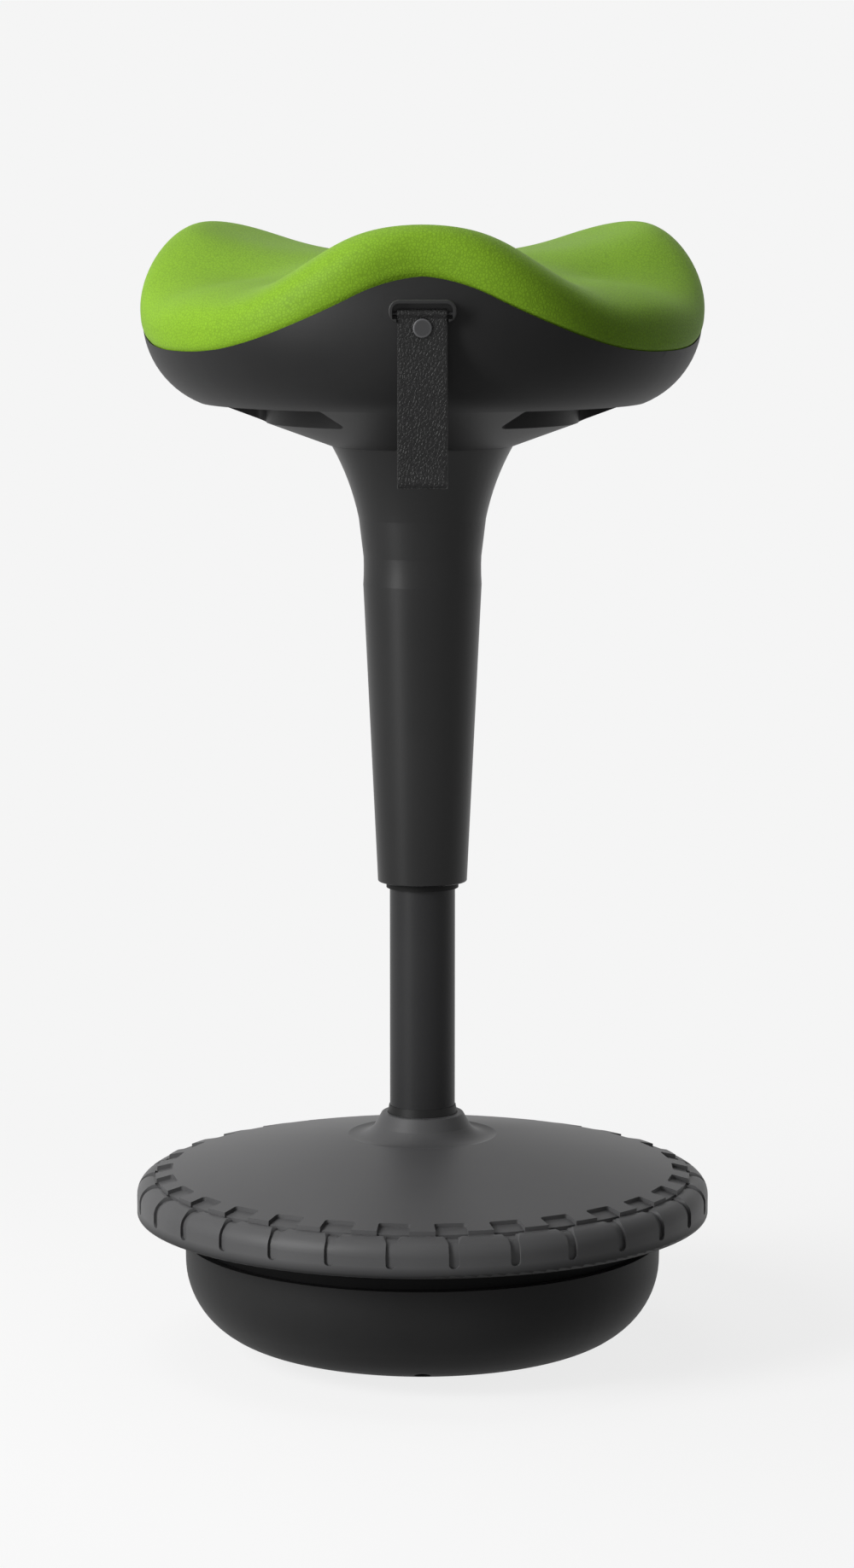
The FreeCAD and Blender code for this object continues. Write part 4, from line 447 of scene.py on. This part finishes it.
def swollen(grid, held_rows, step=3, pressure=4.0, cap=0.0012):
    """How far each point goes when pressure fills the skin. A coarse copy of the grid, held at the
    rows under the seam, runs as cloth for twenty frames; its capped movement is carried back
    between its rows and columns and smoothed over its neighbours."""
    rows = np.unique(np.append(np.arange(0, len(grid), step), len(grid) - 1))
    coarse = grid[rows][:, ::step]
    count = coarse.shape[1]
    copy = surface("cushion_pressure", coarse)
    held = copy.vertex_groups.new(name="held")
    kept = int((rows <= held_rows).sum()) * count
    held.add(list(range(kept)) + [len(rows) * count], 1.0, "REPLACE")
    cloth = copy.modifiers.new("pressure", "CLOTH")
    cloth.settings.vertex_group_mass = "held"
    cloth.settings.use_pressure = True
    cloth.settings.uniform_pressure_force = pressure
    cloth.settings.effector_weights.gravity = 0
    for moment in range(1, CLOTH_FRAMES + 1):
        bpy.context.scene.frame_set(moment)
    after = copy.evaluated_get(bpy.context.evaluated_depsgraph_get()).data
    moved = np.empty(len(after.vertices) * 3, np.float32)
    after.vertices.foreach_get("co", moved)
    moved = moved.reshape(-1, 3)[:-2].reshape(coarse.shape) - coarse
    bpy.data.objects.remove(copy)
    bpy.context.scene.frame_set(1)
    size = np.linalg.norm(moved, axis=-1, keepdims=True)
    moved = moved * np.minimum(1, cap / np.maximum(size, 1e-9))
    down = np.arange(len(grid))
    above = np.clip(np.searchsorted(rows, down, side="right") - 1, 0, len(rows) - 2)
    share = ((down - rows[above]) / (rows[above + 1] - rows[above]))[:, None, None]
    moved = moved[above] * (1 - share) + moved[above + 1] * share
    round_it = np.arange(grid.shape[1])
    share = ((round_it % step) / step)[:, None]
    moved = moved[:, round_it // step] * (1 - share) + moved[:, (round_it // step + 1) % count] * share
    for _ in range(CLOTH_SMOOTHING):
        moved[1:-1] = (moved[:-2] + 2 * moved[1:-1] + moved[2:]) / 4
        moved = (np.roll(moved, 1, 1) + 2 * moved + np.roll(moved, -1, 1)) / 4
    return moved * np.clip((down - held_rows) / CLOTH_FADE, 0, 1)[:, None, None]


turn = np.linspace(0, 2 * np.pi, AROUND, endpoint=False)
low = waves(SEAM, turn) + SEAM_GAP
top = waves(CREST, turn)
crest = waves(CREST_RADIUS, turn)
# The lip lies on the arc of the seat's side, at the height of the seam.
lip = SIDE_CENTRE + np.sqrt(SIDE_ARC ** 2 - (low - BELLY) ** 2)
# The side is a cubic curve from the seam to the crest. In the dish the mean height fades with the
# square of the radius and the lobes with its cube, so the middle has no crease. Where side and
# dish meet at the crest the rows are eased, which rounds it as foam does.
share = np.linspace(0, 1, SIDE_ROWS)[:, None]
rest = 1 - share
side_r = (rest ** 3 * lip + 3 * share * rest ** 2 * (lip + BULGE)
          + 3 * share ** 2 * rest * (lip + BROW_SHARE * BULGE) + share ** 3 * crest)
side_z = (rest ** 3 * low + 3 * share * rest ** 2 * (low + BELLY_SHARE * (top - low))
          + 3 * share ** 2 * rest * top + share ** 3 * top)
inward = np.linspace(1, DISH_HOLE, DISH_ROWS)[1:, None]
radius = np.concatenate([side_r, inward * crest])
dish_z = DISH + (CREST[0] - DISH) * inward ** 2 + (top - CREST[0]) * inward ** 3
height = np.concatenate([side_z, dish_z])
hold = np.clip((np.arange(len(radius)) - EASE_START) / EASE_RUN, 0, 1)[:, None]
radius = eased(radius, hold, EASE_PASSES)
height = eased(height, hold, EASE_PASSES)
# Below the seam the skin tucks in, then runs down and under the foam to a flat base.
level = np.ones_like(turn)
tuck_r = np.stack([BASE_INNER * level, BASE_OUTER * level, radius[0] - TUCK_IN])
tuck_z = np.stack([BASE_HEIGHT * level, BASE_HEIGHT * level, height[0] - TUCK_DOWN])
radius = np.concatenate([tuck_r, radius])
height = np.concatenate([tuck_z, height])
angle = turn - np.pi / 2
skin_grid = np.stack([radius * np.cos(angle), radius * np.sin(angle), height], -1)
skin_grid = skin_grid + swollen(skin_grid, len(tuck_r))
cushion = surface("cushion_cover", skin_grid)
green = leather("leather_green", (0.25, 0.475, 0.022), 0.56, 0.2, 0.002, 0.8, 0.08)
cushion.data.materials.append(green)
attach(cushion, "seat")
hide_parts("seat_cushion")


# Carry strap: one band of black grained leather that loops over a steel bar in a moulded frame,
# hangs down in two layers, and folds at the bottom. A grey snap closes it under the bar.
BAR_Y, BAR_Z = -0.17985, 0.6766
LAYER_HALF = 0.00085
EYE_RADIUS = 0.00221
PINCH = 0.0024
FOLD_Z, FOLD_RADIUS, FOLD_RISE = 0.5757, 0.0022, 0.0093
STRAP_HALF = 0.015
LAYER_APART = 0.00092
SAMPLE = 0.0005
EDGE_POINTS, FLAT_POINTS = 9, 14

# The middle line of the band in Y and Z: over the bar, down the front layer, round the fold and
# up the back layer. It is sampled every half millimetre and eased all the way round.
over = np.linspace(0, np.pi, 13)
under = np.linspace(np.pi, 2 * np.pi, 13)
line_y = np.concatenate([EYE_RADIUS * np.cos(over), [-LAYER_APART, -LAYER_APART],
                         FOLD_RADIUS * np.cos(under), [LAYER_APART, LAYER_APART]])
line_z = np.concatenate([BAR_Z + EYE_RADIUS * np.sin(over), [BAR_Z - PINCH, FOLD_Z + FOLD_RISE],
                         FOLD_Z + FOLD_RADIUS * np.sin(under), [FOLD_Z + FOLD_RISE, BAR_Z - PINCH]])
line = np.stack([line_y, line_z], -1)
steps = np.linalg.norm(np.roll(line, -1, 0) - line, axis=1)
along = np.concatenate([[0], np.cumsum(steps)])
closed = np.vstack([line, line[:1]])
places = np.linspace(0, along[-1], int(along[-1] / SAMPLE), endpoint=False)
band = np.stack([np.interp(places, along, closed[:, k]) for k in range(2)], -1)
for _ in range(2):
    band = 0.5 * band + 0.25 * (np.roll(band, 1, 0) + np.roll(band, -1, 0))
ahead = np.roll(band, -1, 0) - np.roll(band, 1, 0)
ahead /= np.linalg.norm(ahead, axis=1)[:, None]
# The section is a flat bar 30 mm wide with half-round edges.
bend = np.linspace(-np.pi / 2, np.pi / 2, EDGE_POINTS)
flat = np.linspace(-1, 1, FLAT_POINTS + 2)[1:-1] * (STRAP_HALF - LAYER_HALF)
across = np.concatenate([STRAP_HALF - LAYER_HALF + LAYER_HALF * np.cos(bend), flat[::-1],
                         -(STRAP_HALF - LAYER_HALF) - LAYER_HALF * np.cos(bend), flat])
side = np.ones(FLAT_POINTS)
proud = LAYER_HALF * np.concatenate([np.sin(bend), side, -np.sin(bend), -side])
grid = np.empty((len(band), len(across), 3))
grid[:, :, 0] = across
grid[:, :, 1] = BAR_Y + band[:, None, 0] + proud * ahead[:, None, 1]
grid[:, :, 2] = band[:, None, 1] - proud * ahead[:, None, 0]
strap = surface("strap_band", grid, ring=True)
black = leather("leather_black", (0.0085, 0.0085, 0.0085), 0.46, 0.26, 0.002, 1.0, 0.3, 0.4)
strap.data.materials.append(black)
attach(strap, "strap")
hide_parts("handle_strap")
finish(moulded("frame_black", (0.016, 0.016, 0.0162), 0.4, 0.3), "strap_frame")
finish(coat, "strap_bar")


# Snap: a pressed steel cap in grey enamel that closes the strap under its bar. A painted highlight
# makes the enamel up to three times brighter round the rim, by distance from the cap's middle in X and Z.
RIM_INNER, RIM_OUTER, RIM_HIGHLIGHT_GAIN = 0.0043, 0.0054, 3.0
snap = moulded("snap_grey", (0.036, 0.036, 0.0375), 0.34, 0.4, (1500.0, 0.06))
tree = snap.node_tree
skin = tree.nodes["Principled BSDF"]
snap_low, snap_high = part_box("strap_rivet")
where = add(tree, "ShaderNodeTexCoord")
centred = add(tree, "ShaderNodeVectorMath", operation="SUBTRACT")
centred.inputs[1].default_value = (0, 0, (snap_low[2] + snap_high[2]) / 2)
facing = add(tree, "ShaderNodeVectorMath", operation="MULTIPLY")
facing.inputs[1].default_value = (1, 0, 1)
out = add(tree, "ShaderNodeVectorMath", operation="LENGTH")
# Painted highlight: colour scaled from 1 at 4.3 mm from the cap's middle up to 3 times at 5.4 mm and out.
painted_rim_highlight = add(tree, "ShaderNodeMapRange", From_Min=RIM_INNER, From_Max=RIM_OUTER,
           To_Min=1.0, To_Max=RIM_HIGHLIGHT_GAIN)
brighter = add(tree, "ShaderNodeVectorMath", operation="SCALE")
tint = skin.inputs["Base Color"].links[0].from_socket
tree.links.new(where.outputs["Object"], centred.inputs[0])
tree.links.new(centred.outputs[0], facing.inputs[0])
tree.links.new(facing.outputs[0], out.inputs[0])
tree.links.new(out.outputs["Value"], painted_rim_highlight.inputs["Value"])
tree.links.new(tint, brighter.inputs[0])
tree.links.new(painted_rim_highlight.outputs["Result"], brighter.inputs["Scale"])
tree.links.new(brighter.outputs[0], skin.inputs["Base Color"])
finish(snap, "strap_rivet")
